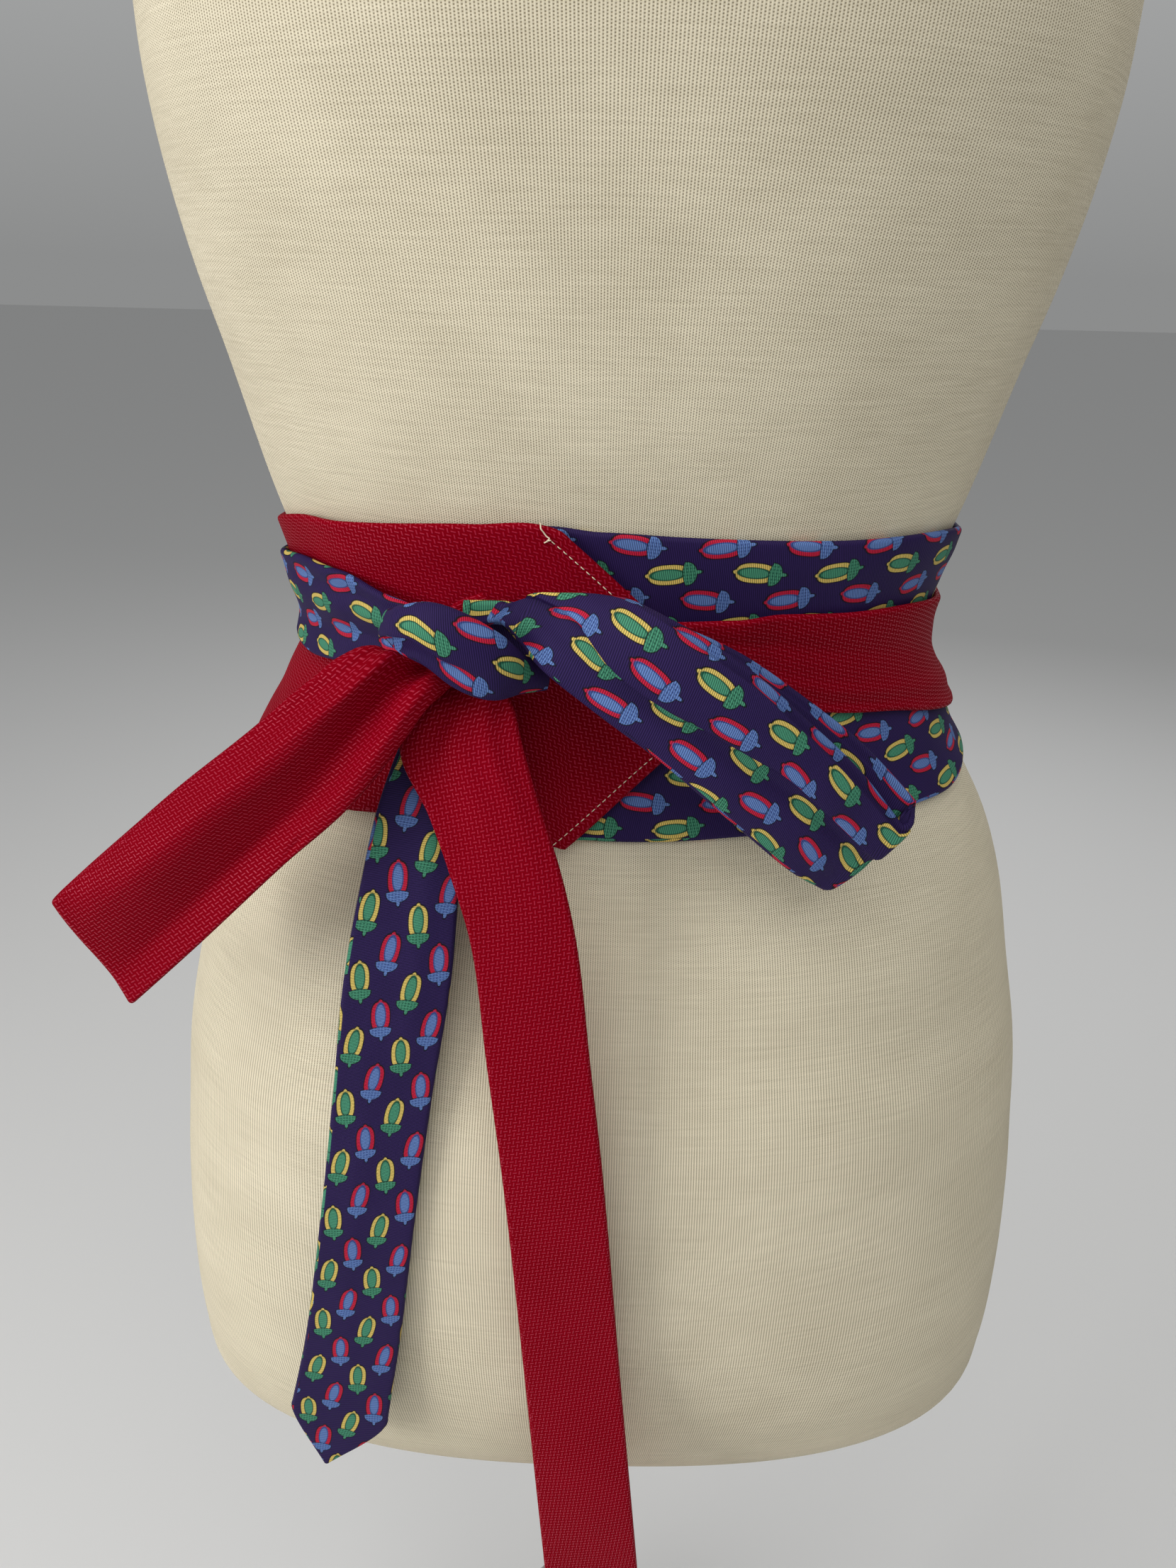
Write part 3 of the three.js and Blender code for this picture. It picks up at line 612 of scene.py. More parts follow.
def red_silk_finish():
    """Deep red silk: a dull ground with glossier dashes of thread on it, coloured lighter as painted sheen,
    and a slow unevenness of tone. The dashes catch the light where the cloth turns to it."""
    material, tree, shader = finish_of("red_silk", Specular_Tint=(1.0, 0.35, 0.42, 1))
    vector, _, _ = cloth_place(tree)
    dash = Number(tree, grouped(tree, floats_group(), Vector=vector)["Dash"])
    cloud = grouped(tree, clouds, Vector=vector, Spot=25.0)["Mask"]
    ground = mixed(tree, cloud, (0.190, 0.0001, 0.0045, 1), (0.240, 0.0002, 0.008, 1))
    # Painted sheen: the dashes' base colour is lighter, standing in for the gloss of the raised threads.
    color = mixed(tree, dash * 0.5, ground, (0.50, 0.006, 0.05, 1))
    feed(tree, shader, dash, 0.00012, Base_Color=color, Specular_IOR_Level=dash.between(0.0, 1.0, 0.03, 0.75),
         Roughness=dash.between(0.0, 1.0, 0.70, 0.45))
    return material


def acorn_group():
    """The navy silk's print, in mm of cloth: lengthwise columns of yellow and of red acorns by turns, each
    column set on a little from the last, with the acorns leaning one way and the other. An acorn is an oval
    nut with a lighter oval on it, a scaled cap and a stem, all with a thin dark outline. Mask is 1 on it."""
    tree, given, gives = group_of("acorn_print", [("Vector", "Vector")],
                                  [("Color", "Color"), ("Mask", "Float")])
    pitch_across, pitch_along, drop, size, lean = 7.8, 23.6, 0.42, 0.80, 0.10
    across, along = across_and_along(tree, given["Vector"])
    x = across / pitch_across
    column = x.math("FLOOR")
    y = along / pitch_along + column * drop
    is_red = column.math("PINGPONG", 1.0)
    in_x = (x.math("FRACT") - 0.5) * (pitch_across / size)
    in_y = (y.math("FRACT") - 0.5) * (pitch_along / size)
    turn = ((y.math("FLOOR") + column).math("PINGPONG", 1.0) - 0.5) * (2 * lean)
    cos, sin = turn.math("COSINE"), turn.math("SINE")
    px, py = in_x * cos - in_y * sin, in_x * sin + in_y * cos

    def oval(center_x, center_y, radius_x, radius_y, power=2.0):
        """Roughly the distance outside a rounded oval, in mm."""
        dx = ((px - center_x) / radius_x).math("ABSOLUTE")
        dy = ((py - center_y) / radius_y).math("ABSOLUTE")
        total = dx.math("POWER", power) + dy.math("POWER", power)
        return (total.math("POWER", 1 / power) - 1.0) * min(radius_x, radius_y)

    def inside(distance, margin=0.0):
        """1 where the distance is under the margin, with a soft edge."""
        return distance.fades(margin - 0.13, margin + 0.13)

    nut = oval(0, -2.6, 3.6, 6.9, 2.6).math("MINIMUM", oval(0, -9.2, 0.8, 1.3))
    kernel = oval(0, -3.0, 1.75, 5.1)
    cap = oval(0, 3.0, 4.2, 3.8, 2.2).math("MAXIMUM", px * px * 0.05 + 2.2 - py)
    stem = oval(0.3, 7.3, 0.6, 1.2)
    whole = nut.math("MINIMUM", cap).math("MINIMUM", stem)
    scales = ((px + py) * 2.6).math("SINE") * ((px - py) * 2.6).math("SINE")
    yellow, green, deep_green = (0.64, 0.49, 0.13, 1), (0.06, 0.26, 0.16, 1), (0.010, 0.085, 0.05, 1)
    crimson, blue, deep_blue = (0.48, 0.012, 0.045, 1), (0.11, 0.20, 0.47, 1), (0.035, 0.07, 0.24, 1)
    outline = (0.006, 0.006, 0.010, 1)
    dark = mixed(tree, is_red, deep_green, deep_blue)
    light = mixed(tree, is_red, green, blue)
    color = mixed(tree, inside(nut, -0.05), outline, mixed(tree, is_red, yellow, crimson))
    color = mixed(tree, inside(kernel, 0.4), color, dark)
    color = mixed(tree, inside(kernel), color, light)
    color = mixed(tree, inside(cap, 0.25), color, outline)
    color = mixed(tree, inside(cap), color, mixed(tree, scales.fades(-0.2, 1.1), dark, light))
    color = mixed(tree, inside(stem), color, light)
    tree.links.new(color, gives["Color"])
    tree.links.new(inside(whole, 0.3).socket, gives["Mask"])
    return tree


def navy_silk_finish():
    """Purple-navy silk twill, printed: fine ribs across the tie, a little aslant, with painted light on their
    tops and painted shade between, and the print lying on both."""
    material, tree, shader = finish_of("navy_silk", Roughness=0.6, Specular_IOR_Level=0.12)
    vector, across, along = cloth_place(tree)
    rib_pitch, rib_slant = 0.57, 0.22
    rib = ((along + across * rib_slant) * (2 * math.pi / rib_pitch)).math("SINE").between(-1.0, 1.0)
    printed = grouped(tree, acorn_group(), Vector=vector)
    cloud = grouped(tree, clouds, Vector=vector, Spot=25.0)["Mask"]
    ground = mixed(tree, cloud, (0.018, 0.009, 0.062, 1), (0.027, 0.014, 0.086, 1))
    color = mixed(tree, printed["Mask"], ground, printed["Color"])
    # Painted light and shade: the ribs' tops are made lighter and the hollows between them darker.
    shade = mixed(tree, rib, (0.48, 0.48, 0.52, 1), (1.42, 1.38, 1.34, 1))
    feed(tree, shader, rib, 0.00009, Base_Color=mixed(tree, 1.0, color, shade, "MULTIPLY"))
    return material


red_silk, navy_silk = red_silk_finish(), navy_silk_finish()


def dress(piece, finish, slot, node):
    """What every stretch of a tie gets: what every piece gets."""
    belongs(piece, finish, slot, node)


RED_BLADE = [  # turn, height of the top edge and of the bottom edge, layer
    (22.6, 7.2, 6.0, 2), (-8.6, 52.6, -42.4, 2), (-10.2, 55, -41.9, 2), (-25, 55.8, -38.5, 2),
    (-41, 53.6, -38, 2), (-47, 52.6, -39.5, 2), (-60, 50, -40.5, 1), (-80, 43, -37, 1),
    (-95, 41, -38, 1), (-120, 42, -31, 1), (-150, 47, -10, 1), (-165, 51, -0.6, 1), (-178, 52, 0.2, 1),
]
NAVY_BLADE = [  # with the same columns
    (-46, 8.6, 7.4, 1), (-17, 53.5, -38, 1), (-3.5, 54, -40, 1), (10, 53, -40, 1), (24, 52, -39, 1),
    (38, 51, -39, 1), (56, 50, -38, 1), (66, 48.5, -38.5, 1), (80, 45, -35, 1), (95, 44, -35, 1),
    (120, 37, -40, 1), (150, 15, -46, 1), (165, 1, -50, 1), (178, -2, -50, 1),
]
RED_BLADE_FOLDS = [  # kind, then rows of turn, place across, width, height
    ("ridge", [(-170, 20, 4, 0.5), (-120, 30, 5, 0.6), (-75, 36, 5, 0.4)]),
    ("ridge", [(-150, -12, 5, -0.5), (-110, -20, 7, -0.7), (-70, -22, 5, -0.3)]),
    ("ridge", [(-68, 30, 4, 0.0), (-50, 36, 4, 0.4), (-20, 41, 4, 0.3), (-11, 40, 3, 0.1)]),
    ("ridge", [(-64, -26, 5, -0.4), (-45, -34, 5, -0.5), (-28, -30, 6, -0.2)]),
]
NAVY_BLADE_FOLDS = [
    ("ridge", [(25, 38, 4, 0.4), (60, 36, 5, 0.5), (100, 30, 5, 0.5), (150, 18, 5, 0.3)]),
    ("ridge", [(10, -32, 4, -0.3), (50, -34, 4, -0.5), (95, -30, 6, -0.6), (140, -20, 6, -0.3)]),
]
red_blade, red_blade_middle, red_blade_edges = wound_strip("red_blade_cloth", RED_BLADE, 3, RED_BLADE_FOLDS,
                                                           straight=1)
navy_blade, _, _ = wound_strip("navy_blade_cloth", NAVY_BLADE, 4, NAVY_BLADE_FOLDS, straight=-1)
dress(red_blade, red_silk, "red_silk", "red_blade")
dress(navy_blade, navy_silk, "navy_silk", "navy_blade")


# ---- Topstitching ----
# Cream silk thread, sewn by hand along both slants of the red blade's point. Each stitch dips into the
# cloth at its ends. At the upper shoulder the thread is knotted off, and its end curls over the edge.
STITCH_LENGTH, STITCH_PITCH, STITCH_RISE, STITCH_DIP = 1.3, 2.1, 0.16, 0.04
STITCH_INSET = 5.1  # mm along the tie from the slanting edge
STITCHED_FROM, STITCHED_TO = 6, 1.0  # mm from the tip, and mm short of the shoulder
THREAD_SHAPE = 0.16 * np.array([0.6, 0.9, 1, 1, 1, 0.9, 0.6])  # a stitch's radius, from end to end
THREAD_END_RADIUS = 0.2
TIP_TURN, SHOULDER_TURN = RED_BLADE[0][0], RED_BLADE[1][0]
TURN_LENGTH = 1.63  # mm of cloth to a degree at the point


def on_face(middle, u, v, lift):
    """Points above the cloth's outer face."""
    run = middle(u + 0.05, v) - middle(u - 0.05, v)
    over = middle(u, v + 0.004) - middle(u, v - 0.004)
    return middle(u, v) + unit(np.cross(run, over)) * (CLOTH / 2 + lift)[..., None]


def thread_tubes(name, paths, radius, sides=6):
    """One mesh of thin tubes along the paths, an array of tubes by points, with the radius by point."""
    tangent = unit(np.gradient(paths, axis=1))
    beside = unit(np.cross(tangent, [0.31, -0.87, 0.39]))  # along no thread
    other = np.cross(tangent, beside)
    angle = np.linspace(0, 2 * np.pi, sides, endpoint=False)[:, None]
    ring = beside[:, :, None] * np.cos(angle) + other[:, :, None] * np.sin(angle)
    points = paths[:, :, None] + ring * radius[None, :, None, None]
    count, length = paths.shape[:2]
    tube, i, j = np.meshgrid(np.arange(count), np.arange(length - 1), np.arange(sides), indexing="ij")
    base, k = (tube * length + i) * sides, (j + 1) % sides
    quads = np.stack([base + j, base + k, base + sides + k, base + sides + j], -1).reshape(-1, 4)
    mesh = bpy.data.meshes.new(name)
    mesh.from_pydata(points.reshape(-1, 3) / 1000 + [0, 0, WAIST_HEIGHT], [], quads)
    work = bmesh.new()
    work.from_mesh(mesh)
    bmesh.ops.holes_fill(work, edges=work.edges, sides=sides)
    bmesh.ops.recalc_face_normals(work, faces=work.faces)
    work.to_mesh(mesh)
    work.free()
    mesh.polygons.foreach_set("use_smooth", np.ones(len(mesh.polygons), bool))
    return placed(name, mesh)


stitch_paths = []
slant_length = math.hypot((TIP_TURN - SHOULDER_TURN) * TURN_LENGTH, RED_BLADE[1][1] - RED_BLADE[0][1])
stitch_steps = np.linspace(0, 1, len(THREAD_SHAPE))
for edge_at_tip, edge_at_shoulder in zip(RED_BLADE[0][1:3], RED_BLADE[1][1:3]):
    start = np.arange(STITCHED_FROM, slant_length - STITCHED_TO, STITCH_PITCH)[:, None]
    share = (start + STITCH_LENGTH * stitch_steps) / slant_length
    turn = TIP_TURN + (SHOULDER_TURN - TIP_TURN) * share - STITCH_INSET / TURN_LENGTH
    height = edge_at_tip + (edge_at_shoulder - edge_at_tip) * share
    top, bottom = np.moveaxis(red_blade_edges(turn), -1, 0)
    arch = STITCH_RISE * np.sin(np.pi * stitch_steps) - STITCH_DIP
    stitch_paths.append(on_face(red_blade_middle, turn, (height - bottom) / (top - bottom), arch + 0 * turn))
stitches = thread_tubes("topstitching", np.concatenate(stitch_paths), THREAD_SHAPE)

THREAD_END = [  # turn, height above the waist, height above the cloth's face
    (-14.0, 53.5, -3.4), (-13.8, 56.2, -2.4), (-13.5, 57.2, -0.9), (-13.3, 56.3, 0.7), (-12.9, 55.2, 0.5),
    (-12.5, 54.2, 0.5), (-12.0, 53.6, 0.7), (-12.3, 53.1, 1.0), (-11.8, 53.2, 0.9), (-12.3, 52.8, 0.6),
    (-12.9, 52.3, 0.7),
]
turn, height, lift = np.moveaxis(rounded(THREAD_END, 90), -1, 0)
top, bottom = np.moveaxis(red_blade_edges(turn), -1, 0)
end_path = on_face(red_blade_middle, turn, (height - bottom) / (top - bottom), lift)
loose_end = thread_tubes("thread_end", end_path[None], np.full(len(turn), THREAD_END_RADIUS), 8)
thread_finish, _, _ = finish_of("cream_thread", Base_Color=(0.78, 0.66, 0.50, 1), Roughness=0.5)
for thread in (stitches, loose_end):
    belongs(thread, thread_finish, "jersey")


# ---- The bands ----
# Past the seam at the back each tie narrows to its neck and runs on round to the knot, the navy one over
# the red blade and the red one over the navy blade. Near the knot they are pulled forward.
RED_BAND = [  # turn, height of the top edge and of the bottom edge, layer
    (181.5, 52, 0.2, 1), (172, 51.5, 1.4, 1), (162, 49, 2.2, 2), (130, 36, -12, 2), (105, 27, -19, 2),
    (80, 23.5, -19.5, 2), (67, 26.5, -14, 2), (55, 29, -8, 2), (40.5, 30, -3, 2), (29, 31, 2, 2),
    (20.5, 31, 5, 3), (1.5, 31, 11, 3.5),
]
NAVY_BAND = [  # with the same columns
    (-181.5, -2, -50, 1), (-173, -2, -49, 1), (-165, -1.5, -47, 2), (-130, 13, -28, 2),
    (-105, 26, -9, 2), (-80, 33, 1, 2), (-62, 38, 2.5, 2), (-49, 38.5, 8, 3), (-37, 35, 15, 4.6),
    (-30, 32, 19, 5), (-20, 32, 20, 4.2), (-8, 33, 20, 3.8),
]
RED_BAND_FOLDS = [  # kind, then rows of turn, place across, width, height
    ("ridge", [(4, 6, 2.0, -0.7), (30, 5, 3.0, -0.6), (62, 2, 4.0, -0.4), (95, 0, 5.0, -0.3)]),
    ("ridge", [(22, -6, 2.0, 0.5), (50, -10, 2.5, 0.6), (85, -13, 3.0, 0.5), (130, -10, 4.0, 0.2)]),
    ("ridge", [(35, -13, 1.6, -0.4), (60, -16, 2.0, -0.5), (90, -18, 2.4, -0.3)]),
]
NAVY_BAND_FOLDS = [
    ("ridge", [(-95, 6, 5.0, 0.3), (-60, 5, 4.0, 0.6), (-40, 3, 2.4, 0.9), (-20, 1, 2.0, 0.6)]),
    ("ridge", [(-90, -6, 5.0, -0.3), (-62, -6, 4.0, -0.7), (-44, -4, 2.4, -0.9), (-24, -3, 2.0, -0.6)]),
    ("ridge", [(-75, 14, 2.4, -0.2), (-55, 11, 2.0, -0.6), (-38, 7, 1.6, -0.6)]),
]
red_band, _, _ = wound_strip("red_band_cloth", RED_BAND, 5, RED_BAND_FOLDS, faces=36)
navy_band, _, _ = wound_strip("navy_band_cloth", NAVY_BAND, 6, NAVY_BAND_FOLDS, faces=36)
dress(red_band, red_silk, "red_silk", "red_band")
dress(navy_band, navy_silk, "navy_silk", "navy_band")


# ---- The tails ----
# The red tie's narrow end hangs free to below the form, and the navy one's hangs behind it and ends higher
# up. Both end in a sewn point.
RIBBON_FADE, RIBBON_WAVE = 10.0, 60  # mm over which a fold starts and ends, and mm from ripple to ripple
LAP_GAP = 0.16  # mm from a lap's line to the column on either side


def sectioned(along, share, sections):
    """The height given by sections across the cloth: each row has its place along and the heights at even
    steps across, from edge to edge, with cubics between them both ways."""
    heights = smooth_table(sections, along)
    count = heights.shape[-1]
    place = np.clip(share, 0, 1) * (count - 1)
    k = np.clip(np.floor(place).astype(int), 0, count - 2)
    p = place - k

    def at(offset):
        column = np.clip(k + offset, 0, count - 1)
        return np.take_along_axis(heights, column[..., None], -1)[..., 0]

    slope0, slope1 = (at(1) - at(-1)) / 2, (at(2) - at(0)) / 2
    return (at(0) * (1 + 2 * p) * (1 - p) ** 2 + slope0 * p * (1 - p) ** 2
            + at(1) * p**2 * (3 - 2 * p) - slope1 * p**2 * (1 - p))


def lap_shares(folds):
    """Columns that keep to both sides of every lap's line, so that each lap has a clean edge."""
    laps = [rows for kind, rows in folds if kind == "lap"]

    def shares(along, width, faces):
        stops = [0 * along]
        for rows in laps:
            line = 0.5 + smooth_table(rows, along)[..., 0] / width
            stops += [line - LAP_GAP / width, line + LAP_GAP / width]
        stops = np.clip(np.stack(stops + [1 + 0 * along], -1), 0, 1)
        spans = len(laps) + 1
        counts = [faces // spans] * spans
        counts[-1] += faces % spans
        return np.concatenate([np.linspace(stops[:, 2 * k], stops[:, 2 * k + 1], count, axis=-1)
                               for k, count in enumerate(counts)], -1)

    return shares


def ribbon_middle(rows, folds=(), ripple=0.0, seed=1, sections=None):
    """A ribbon's middle surface from the places of its two long edges and the bulge between them:
    left + (right - left) v, moved out by bulge (1 - (2v - 1)^2), the sections, folds and ripples. The rows
    are joined by cubics over the length. Returns the surface, the width by share of the length, and the
    length."""
    table = np.array(rows, float)
    places = covered((table[:, :3] + table[:, 3:6]) / 2)
    total = places[-1]
    table = [tuple(row) for row in np.column_stack([places / total, table])]

    def flat(u, v):
        found = smooth_table(table, u)
        return found[..., :3] + (found[..., 3:6] - found[..., :3]) * v[..., None], found

    def width_of(u):
        found = smooth_table(table, u)
        return np.linalg.norm(found[..., 3:6] - found[..., :3], axis=-1)

    def middle(u, v, shaped=1):
        place, found = flat(u, v)
        step = 0.004
        run = flat(u + step, v)[0] - flat(u - step, v)[0]
        over = found[..., 3:6] - found[..., :3]
        out = unit(np.cross(run, over))
        across = (v - 0.5) * np.linalg.norm(over, axis=-1)
        lift = found[..., 6] * (1 - (2 * v - 1) ** 2) + shaped * (
            folded(u * total, across, folds, RIBBON_FADE)
            + ripples(u * total, across, ripple, seed, RIBBON_WAVE))
        if sections is not None:
            lift = lift + shaped * sectioned(u * total, v, sections)
        return place + out * lift[..., None]

    return middle, width_of, total


def free_ribbon(name, rows, folds=(), faces=26, ripple=0.2, seed=1):
    """A stretch of tie that hangs free or is tied, with its rows close together at both ends."""
    middle, width_of, total = ribbon_middle(rows, folds, ripple, seed)
    return tie_cloth(name, middle, spread(total, 1.5) / total, faces, width_of, lambda u: u * total,
                     lap_shares(folds))


RED_TAIL = [  # the left edge's place, the right edge's place, and the middle's bulge
    (-41, -98.4, 20.5, -33, -98.8, 20.5, 0), (-46, -103.2, 14, -33, -104, 13.5, 0.5),
    (-55.5, -107.5, 7, -29, -109, 9, 1), (-60.5, -110, -3, -26.5, -112, 0, 1.5),
    (-52.5, -115, -22.5, -21, -115.5, -18.5, 1.5), (-47, -118.5, -38, -15, -118.5, -37, 1),
    (-41, -121, -60, -10, -121, -59, 0.5), (-36.5, -122.7, -102, -5, -122.7, -101, 0.5),
    (-32, -124, -144, 0, -124, -143, 0.5), (-25, -125, -229, 8, -125, -228, 0.5),
    (-17, -126, -332, 18, -126, -330, 0.5), (-12.5, -126, -394, 23, -126, -391, 0.5),
    (-10.8, -126, -417, 25, -126, -414, 0.5), (-10.6, -126, -420, 25.2, -126, -417, 0.5),
    (6.6, -126, -439, 7.8, -126, -439, 0),
]
NAVY_TAIL = [  # with the same columns
    (-56, -97.2, 18.5, -45, -97.4, 18.5, 0), (-57, -98.5, 4, -42, -98.5, 4, 0),
    (-63, -102.5, -9, -41, -102.5, -10, 0), (-69, -105.5, -26, -43, -105.5, -27, 0.5),
    (-74, -108, -47, -45, -108, -47, 0.5), (-81, -110, -81, -48, -110, -80, 0.5),
    (-87, -111.5, -125, -55, -112, -123, 0.5), (-94, -112, -174, -62, -113, -172, 0.5),
    (-103, -112, -228, -69, -113, -226, 0.5), (-110.5, -112, -262, -75.6, -113, -269, 0.5),
    (-111, -112, -264, -76, -113, -272, 0.5), (-100.6, -113, -294, -99.4, -113, -294, 0),
]
RED_TAIL_FOLDS = [  # kind, then rows of place along, place across, width, height
    ("ridge", [(8, -3, 3, 0.0), (24, -6, 4, -1.4), (44, -9, 5, -0.9), (70, -10, 6, -0.2)]),
    ("ridge", [(6, 5, 2.5, 0.6), (26, 8, 3, 1.0), (60, 9, 4, 0.5), (90, 8, 5, 0.1)]),
    ("ridge", [(20, 0, 4, 0.5), (60, 1, 6, 0.5), (120, 3, 8, 0.2)]),
]
NAVY_TAIL_FOLDS = [
    ("ridge", [(20, 4, 3, 0.4), (70, 5, 4, 0.6), (140, 6, 5, 0.3)]),
    ("ridge", [(120, -6, 4, 0.2), (190, -5, 5, 0.5), (270, -4, 6, 0.2)]),
]
red_tail = free_ribbon("red_tail_cloth", RED_TAIL, RED_TAIL_FOLDS, 36, 1.6, 11)
navy_tail = free_ribbon("navy_tail_cloth", NAVY_TAIL, NAVY_TAIL_FOLDS, 32, 1.0, 12)
dress(red_tail, red_silk, "red_silk", "red_tail")
dress(navy_tail, navy_silk, "navy_silk", "navy_tail")


# ---- The bow's loops ----
# Each loop is a stretch of tie doubled back on itself: it leaves the knot in front, turns over at its far
# end and comes back behind. The navy one is pleated along its middle, and its rear layer shows above.
LOOP_RIPPLE = 0.8
ROLL_ANGLE = 2.4  # radians that the front layer's roll turns through
BACK_SHARE = 0.6  # how much of the folds the rear layer has


def bow_loop(name, rows, air_rows, folds, sections=None, front_from=0.0, back_from=0.0, faces=44, roll=0.0,
             seed=1):
    """A doubled ribbon round the rows' surface: half the air between its layers in front of it on the way
    out, round the far end by a half turn, and behind it on the way back, where it may lie shifted across.
    Where roll is given, the front layer starts by rolling over from behind with that radius. The layers
    share the folds, flatter behind."""
    shape, width_at, total = ribbon_middle(rows, folds, LOOP_RIPPLE, seed, sections)
    roll_length = ROLL_ANGLE * roll
    out_length = (1 - front_from) * total
    turn_length = math.pi * smooth_table(air_rows, np.array(1.0))[0]
    back_length = (1 - back_from) * total
    knots = np.cumsum([0, out_length, turn_length, back_length])

    def split(s):
        """The place on the ribbon, 0 to 1, and the angle turned from front to back."""
        u = np.where(s < knots[1], front_from + np.maximum(s, 0) / total,
                     np.where(s < knots[2], 1.0, 1 - (s - knots[2]) / total))
        return u, np.clip((s - knots[1]) / (knots[2] - knots[1]), 0, 1) * math.pi

    def middle(s, v, shaped=1):
        u, angle = split(s)
        step = 0.004
        place = shape(u, v, shaped * (BACK_SHARE + (1 - BACK_SHARE) * (1 + np.cos(angle)) / 2))
        run = unit(shape(u + step, v, 0) - shape(u - step, v, 0))
        normal = unit(np.cross(run, shape(u, v + step, 0) - shape(u, v - step, 0)))
        ahead = unit(shape(np.ones_like(u), v, 0) - shape(np.full_like(u, 0.97), v, 0))
        over = unit(shape(u, np.ones_like(v), 0) - shape(u, np.zeros_like(v), 0))
        half, shift = np.moveaxis(smooth_table(air_rows, u), -1, 0)
        place = place + normal * (half * np.cos(angle))[..., None]
        place = place + ahead * (half * np.sin(angle))[..., None] + over * (shift * angle / math.pi)[..., None]
        if roll:
            back_turn = np.maximum(-s, 0) / roll
            place = place - run * (roll * np.sin(back_turn))[..., None]
            place = place - normal * (roll * (1 - np.cos(back_turn)))[..., None]
        return place

    spaced = np.concatenate([ROUNDED_END - roll_length, np.arange(2.2 - roll_length, knots[1] - 1, 1.2),
                             np.linspace(knots[1], knots[2], 16),
                             np.arange(knots[2] + 1, knots[3] - 2, 1.4), knots[3] - ROUNDED_END[::-1]])
    lap_columns = lap_shares(folds)

    def shares(s, width, faces):
        return lap_columns(split(s)[0] * total, width, faces)

    return tie_cloth(name, middle, spaced, faces, lambda s: width_at(split(s)[0]), lambda s: s, shares)


RED_LOOP = [  # the upper edge's place, the lower edge's place, and the middle's bulge
    (-51, -107, 28, -42, -107, 20, 0), (-57, -109, 23.6, -43.5, -110, 17, 0),
    (-65, -110, 23.4, -47, -113, 14, 0), (-73, -113.5, 24, -51.5, -116, 10, 0),
    (-83, -114, 17, -58, -117.5, 1, 0), (-100, -113, 2, -72, -118, -17, 0),
    (-121, -112, -15, -92, -116, -36, 0), (-146, -112.5, -37, -123, -114.5, -67, 0),
    (-160.5, -113.5, -50, -142.5, -113.5, -86, 0),
]
RED_LOOP_AIR = [  # share of the length, half the air between the layers, how far the rear one is shifted
    (0, 1.8, 0), (0.15, 2.6, 0), (0.35, 4.5, 0), (0.65, 6.5, 0), (0.9, 4, 0), (1, 2.6, 0),
]
RED_LOOP_SECTIONS = [  # place along, then heights from the upper edge to the lower
    (0, 0.0, 0.8, 1.2, 0.4, -0.8, 0.4, 1.2, 0.2, 0.0),
    (14, 0.2, 1.6, 3.2, 2.8, -0.8, -2.6, 1.8, 1.4, 0.2),
    (30, -0.4, 1.4, 4.4, 4.4, 0.0, -3.6, -1.2, 2.0, 0.2),
    (50, -0.8, 1.4, 5.0, 4.8, 0.8, -3.0, -3.4, 0.8, 0.2),
    (75, -1.0, 2.0, 5.6, 4.8, 1.6, -1.8, -4.2, -1.6, -0.2),
    (100, -0.8, 2.6, 5.2, 4.4, 1.8, -1.2, -3.4, -1.8, -0.2),
    (125, 0.2, 3.0, 3.8, 2.8, 1.2, -0.6, -2.0, -1.0, 0.2),
    (144, 2.2, 2.2, 1.8, 1.2, 0.4, -0.2, -0.4, 0.2, 1.0),
]
RED_LOOP_FOLDS = [  # kind, then rows of place along, place across, width, height
    ("ridge", [(2, -7, 1.4, -0.5), (20, -8.2, 1.6, -1.0), (36, -11.5, 2.0, -0.7), (52, -14, 2.4, -0.2)]),
    ("ridge", [(6, -3.2, 1.3, 0.4), (24, -4.6, 1.6, 0.7), (50, -8.2, 2.2, 0.4), (75, -10, 2.6, 0.1)]),
    ("ridge", [(4, 7.4, 1.3, 0.6), (24, 9.5, 1.6, 0.6), (44, 8.6, 2.0, 0.5), (68, 10.6, 2.4, 0.3)]),
    ("ridge", [(64, 14.4, 0.9, -0.2), (72, 15.4, 0.9, -0.8), (84, 18, 1.0, -0.2)]),
]
NAVY_LOOP = [  # the lower edge's place, the upper edge's place, and the middle's bulge
    (-46, -104.5, 28, -46, -104.5, 36.5, 0), (-32, -106.5, 31, -28, -105.5, 37, 0),
    (-26, -111.5, 28, -17, -109, 38.5, 1), (-20, -115, 23, -2, -112, 38.5, 2),
    (-6, -117, 14, 11, -116, 36, 2.5), (13, -117, 1, 29, -117, 26, 2.5),
    (34, -114.5, -19, 49, -115, 10, 2), (51, -112, -36, 67, -113, -6, 1.5),
    (61, -110.5, -44, 81, -111.5, -22, 0.5),
]
NAVY_LOOP_AIR = [(0, 1.6, 0), (0.16, 3, 0), (0.3, 4.6, 0), (0.55, 7, 4), (0.8, 5.5, 6), (1, 2.4, 7)]
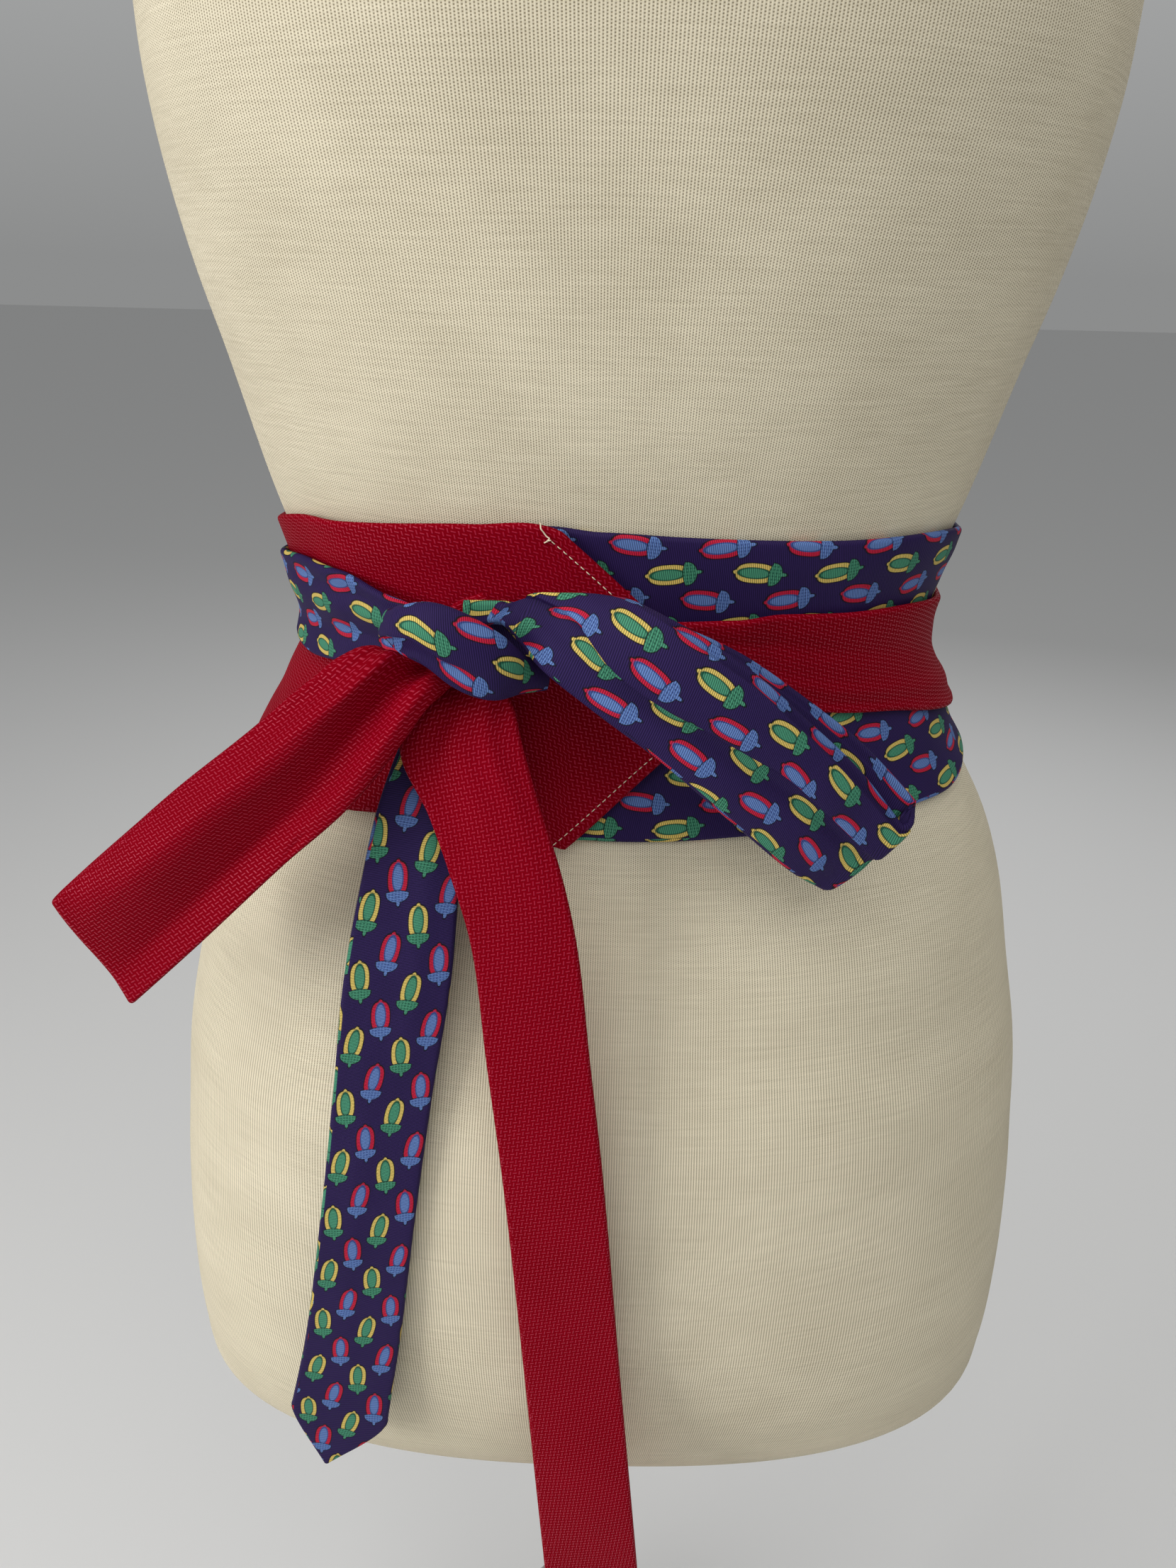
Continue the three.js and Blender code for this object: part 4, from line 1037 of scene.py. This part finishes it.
NAVY_LOOP_FOLDS = [
    ("lap", [(12, 5.2, 0.06, 0.8), (20, 4.6, 0.06, 1.0), (34, 2.8, 0.06, 1.3), (48, -2.0, 0.06, 1.4),
             (64, -3.0, 0.06, 1.4), (80, -1.0, 0.06, 1.3), (104, 2.6, 0.06, 1.3), (122, 2.6, 0.06, 1.2),
             (156, 2.0, 0.06, 0.9)]),
    ("ridge", [(20, 2.6, 2.0, -0.9), (48, -4.6, 2.4, -1.3), (80, -3.6, 2.4, -1.3), (110, 0, 2.4, -1.2),
               (152, -0.6, 2.2, -0.6)]),
    ("lap", [(26, 9.6, 0.06, -0.4), (37, 11.2, 0.06, -1.0), (51, 12.8, 0.06, -1.2), (66, 12.4, 0.06, -1.2),
             (85, 13.2, 0.06, -1.2), (120, 14.0, 0.06, -1.2), (150, 12.0, 0.06, -0.8)]),
    ("ridge", [(14, 7.5, 2.4, 0.8), (40, 7.6, 3.5, 1.3), (80, 6.8, 4.5, 1.2), (130, 8.4, 4.5, 0.8)]),
    ("ridge", [(16, -4, 2.0, -0.9), (40, -9.5, 3.0, -0.7), (80, -11, 5.0, 0.9), (140, -9, 6.0, 0.9)]),
]

red_loop = bow_loop("red_loop_cloth", RED_LOOP, RED_LOOP_AIR, RED_LOOP_FOLDS, RED_LOOP_SECTIONS, faces=56,
                    seed=21)
navy_loop = bow_loop("navy_loop_cloth", NAVY_LOOP, NAVY_LOOP_AIR, NAVY_LOOP_FOLDS, front_from=0.1,
                     back_from=0.02, faces=66, roll=1.8, seed=22)
dress(red_loop, red_silk, "red_silk", "red_loop")
dress(navy_loop, navy_silk, "navy_silk", "navy_loop")


# ---- The knot ----
# The navy band wraps once over the bow's middle from the left and tucks in under the navy loop, squeezed
# into a slanting roll. A short turn of the red tie shows above it.
KNOT = [  # the lower edge's place, the upper edge's place, and the middle's bulge
    (-58, -95, 26.5, -56, -95, 33, 0), (-64, -105, 26.6, -61.5, -105, 34, 0.5),
    (-62, -112, 26.9, -59, -112, 35.5, 1), (-58, -118, 25.5, -55, -118, 39, 1.5),
    (-51, -121.5, 23.5, -49, -121, 41, 2.5), (-43, -122.5, 18, -41, -122.5, 39, 2.5),
    (-34, -120.5, 14.5, -32, -121, 33, 2.5), (-27, -113, 14, -26.5, -113.5, 25, 2),
    (-20, -107, 13, -20, -107, 20.5, 1),
]
KNOT_FOLDS = [
    ("lap", [(8, -4.2, 0.06, 0.8), (17, -3.6, 0.06, 0.9), (25, -2.0, 0.06, 1.1), (31, -1.3, 0.06, 1.1),
             (35, -2.8, 0.06, 1.0), (38, -3.6, 0.06, 0.8), (43, -3.2, 0.2, 0.5), (51, -2.8, 0.6, 0.2)]),
    ("ridge", [(20, -4.6, 1.6, -0.6), (34, -4.6, 1.8, -0.9), (46, -4.4, 2.4, -0.4), (56, -4, 2.4, 0)]),
    ("ridge", [(20, 3, 3.0, 0.5), (42, 3.6, 4.0, 1.0), (62, 2, 3.0, 0.5)]),
]
RED_TUCK = [  # with the same columns
    (-43, -99.8, 22, -52, -99.8, 27, 0), (-37, -99.8, 28, -46, -99.8, 34.5, 0),
    (-30, -99.8, 31.5, -38, -99.8, 38, 0),
]
knot = free_ribbon("knot_cloth", KNOT, KNOT_FOLDS, 44)
tuck = free_ribbon("red_tuck_cloth", RED_TUCK, faces=14, ripple=0.0)
dress(knot, navy_silk, "navy_silk", "navy_knot")
dress(tuck, red_silk, "red_silk", "red_tuck")
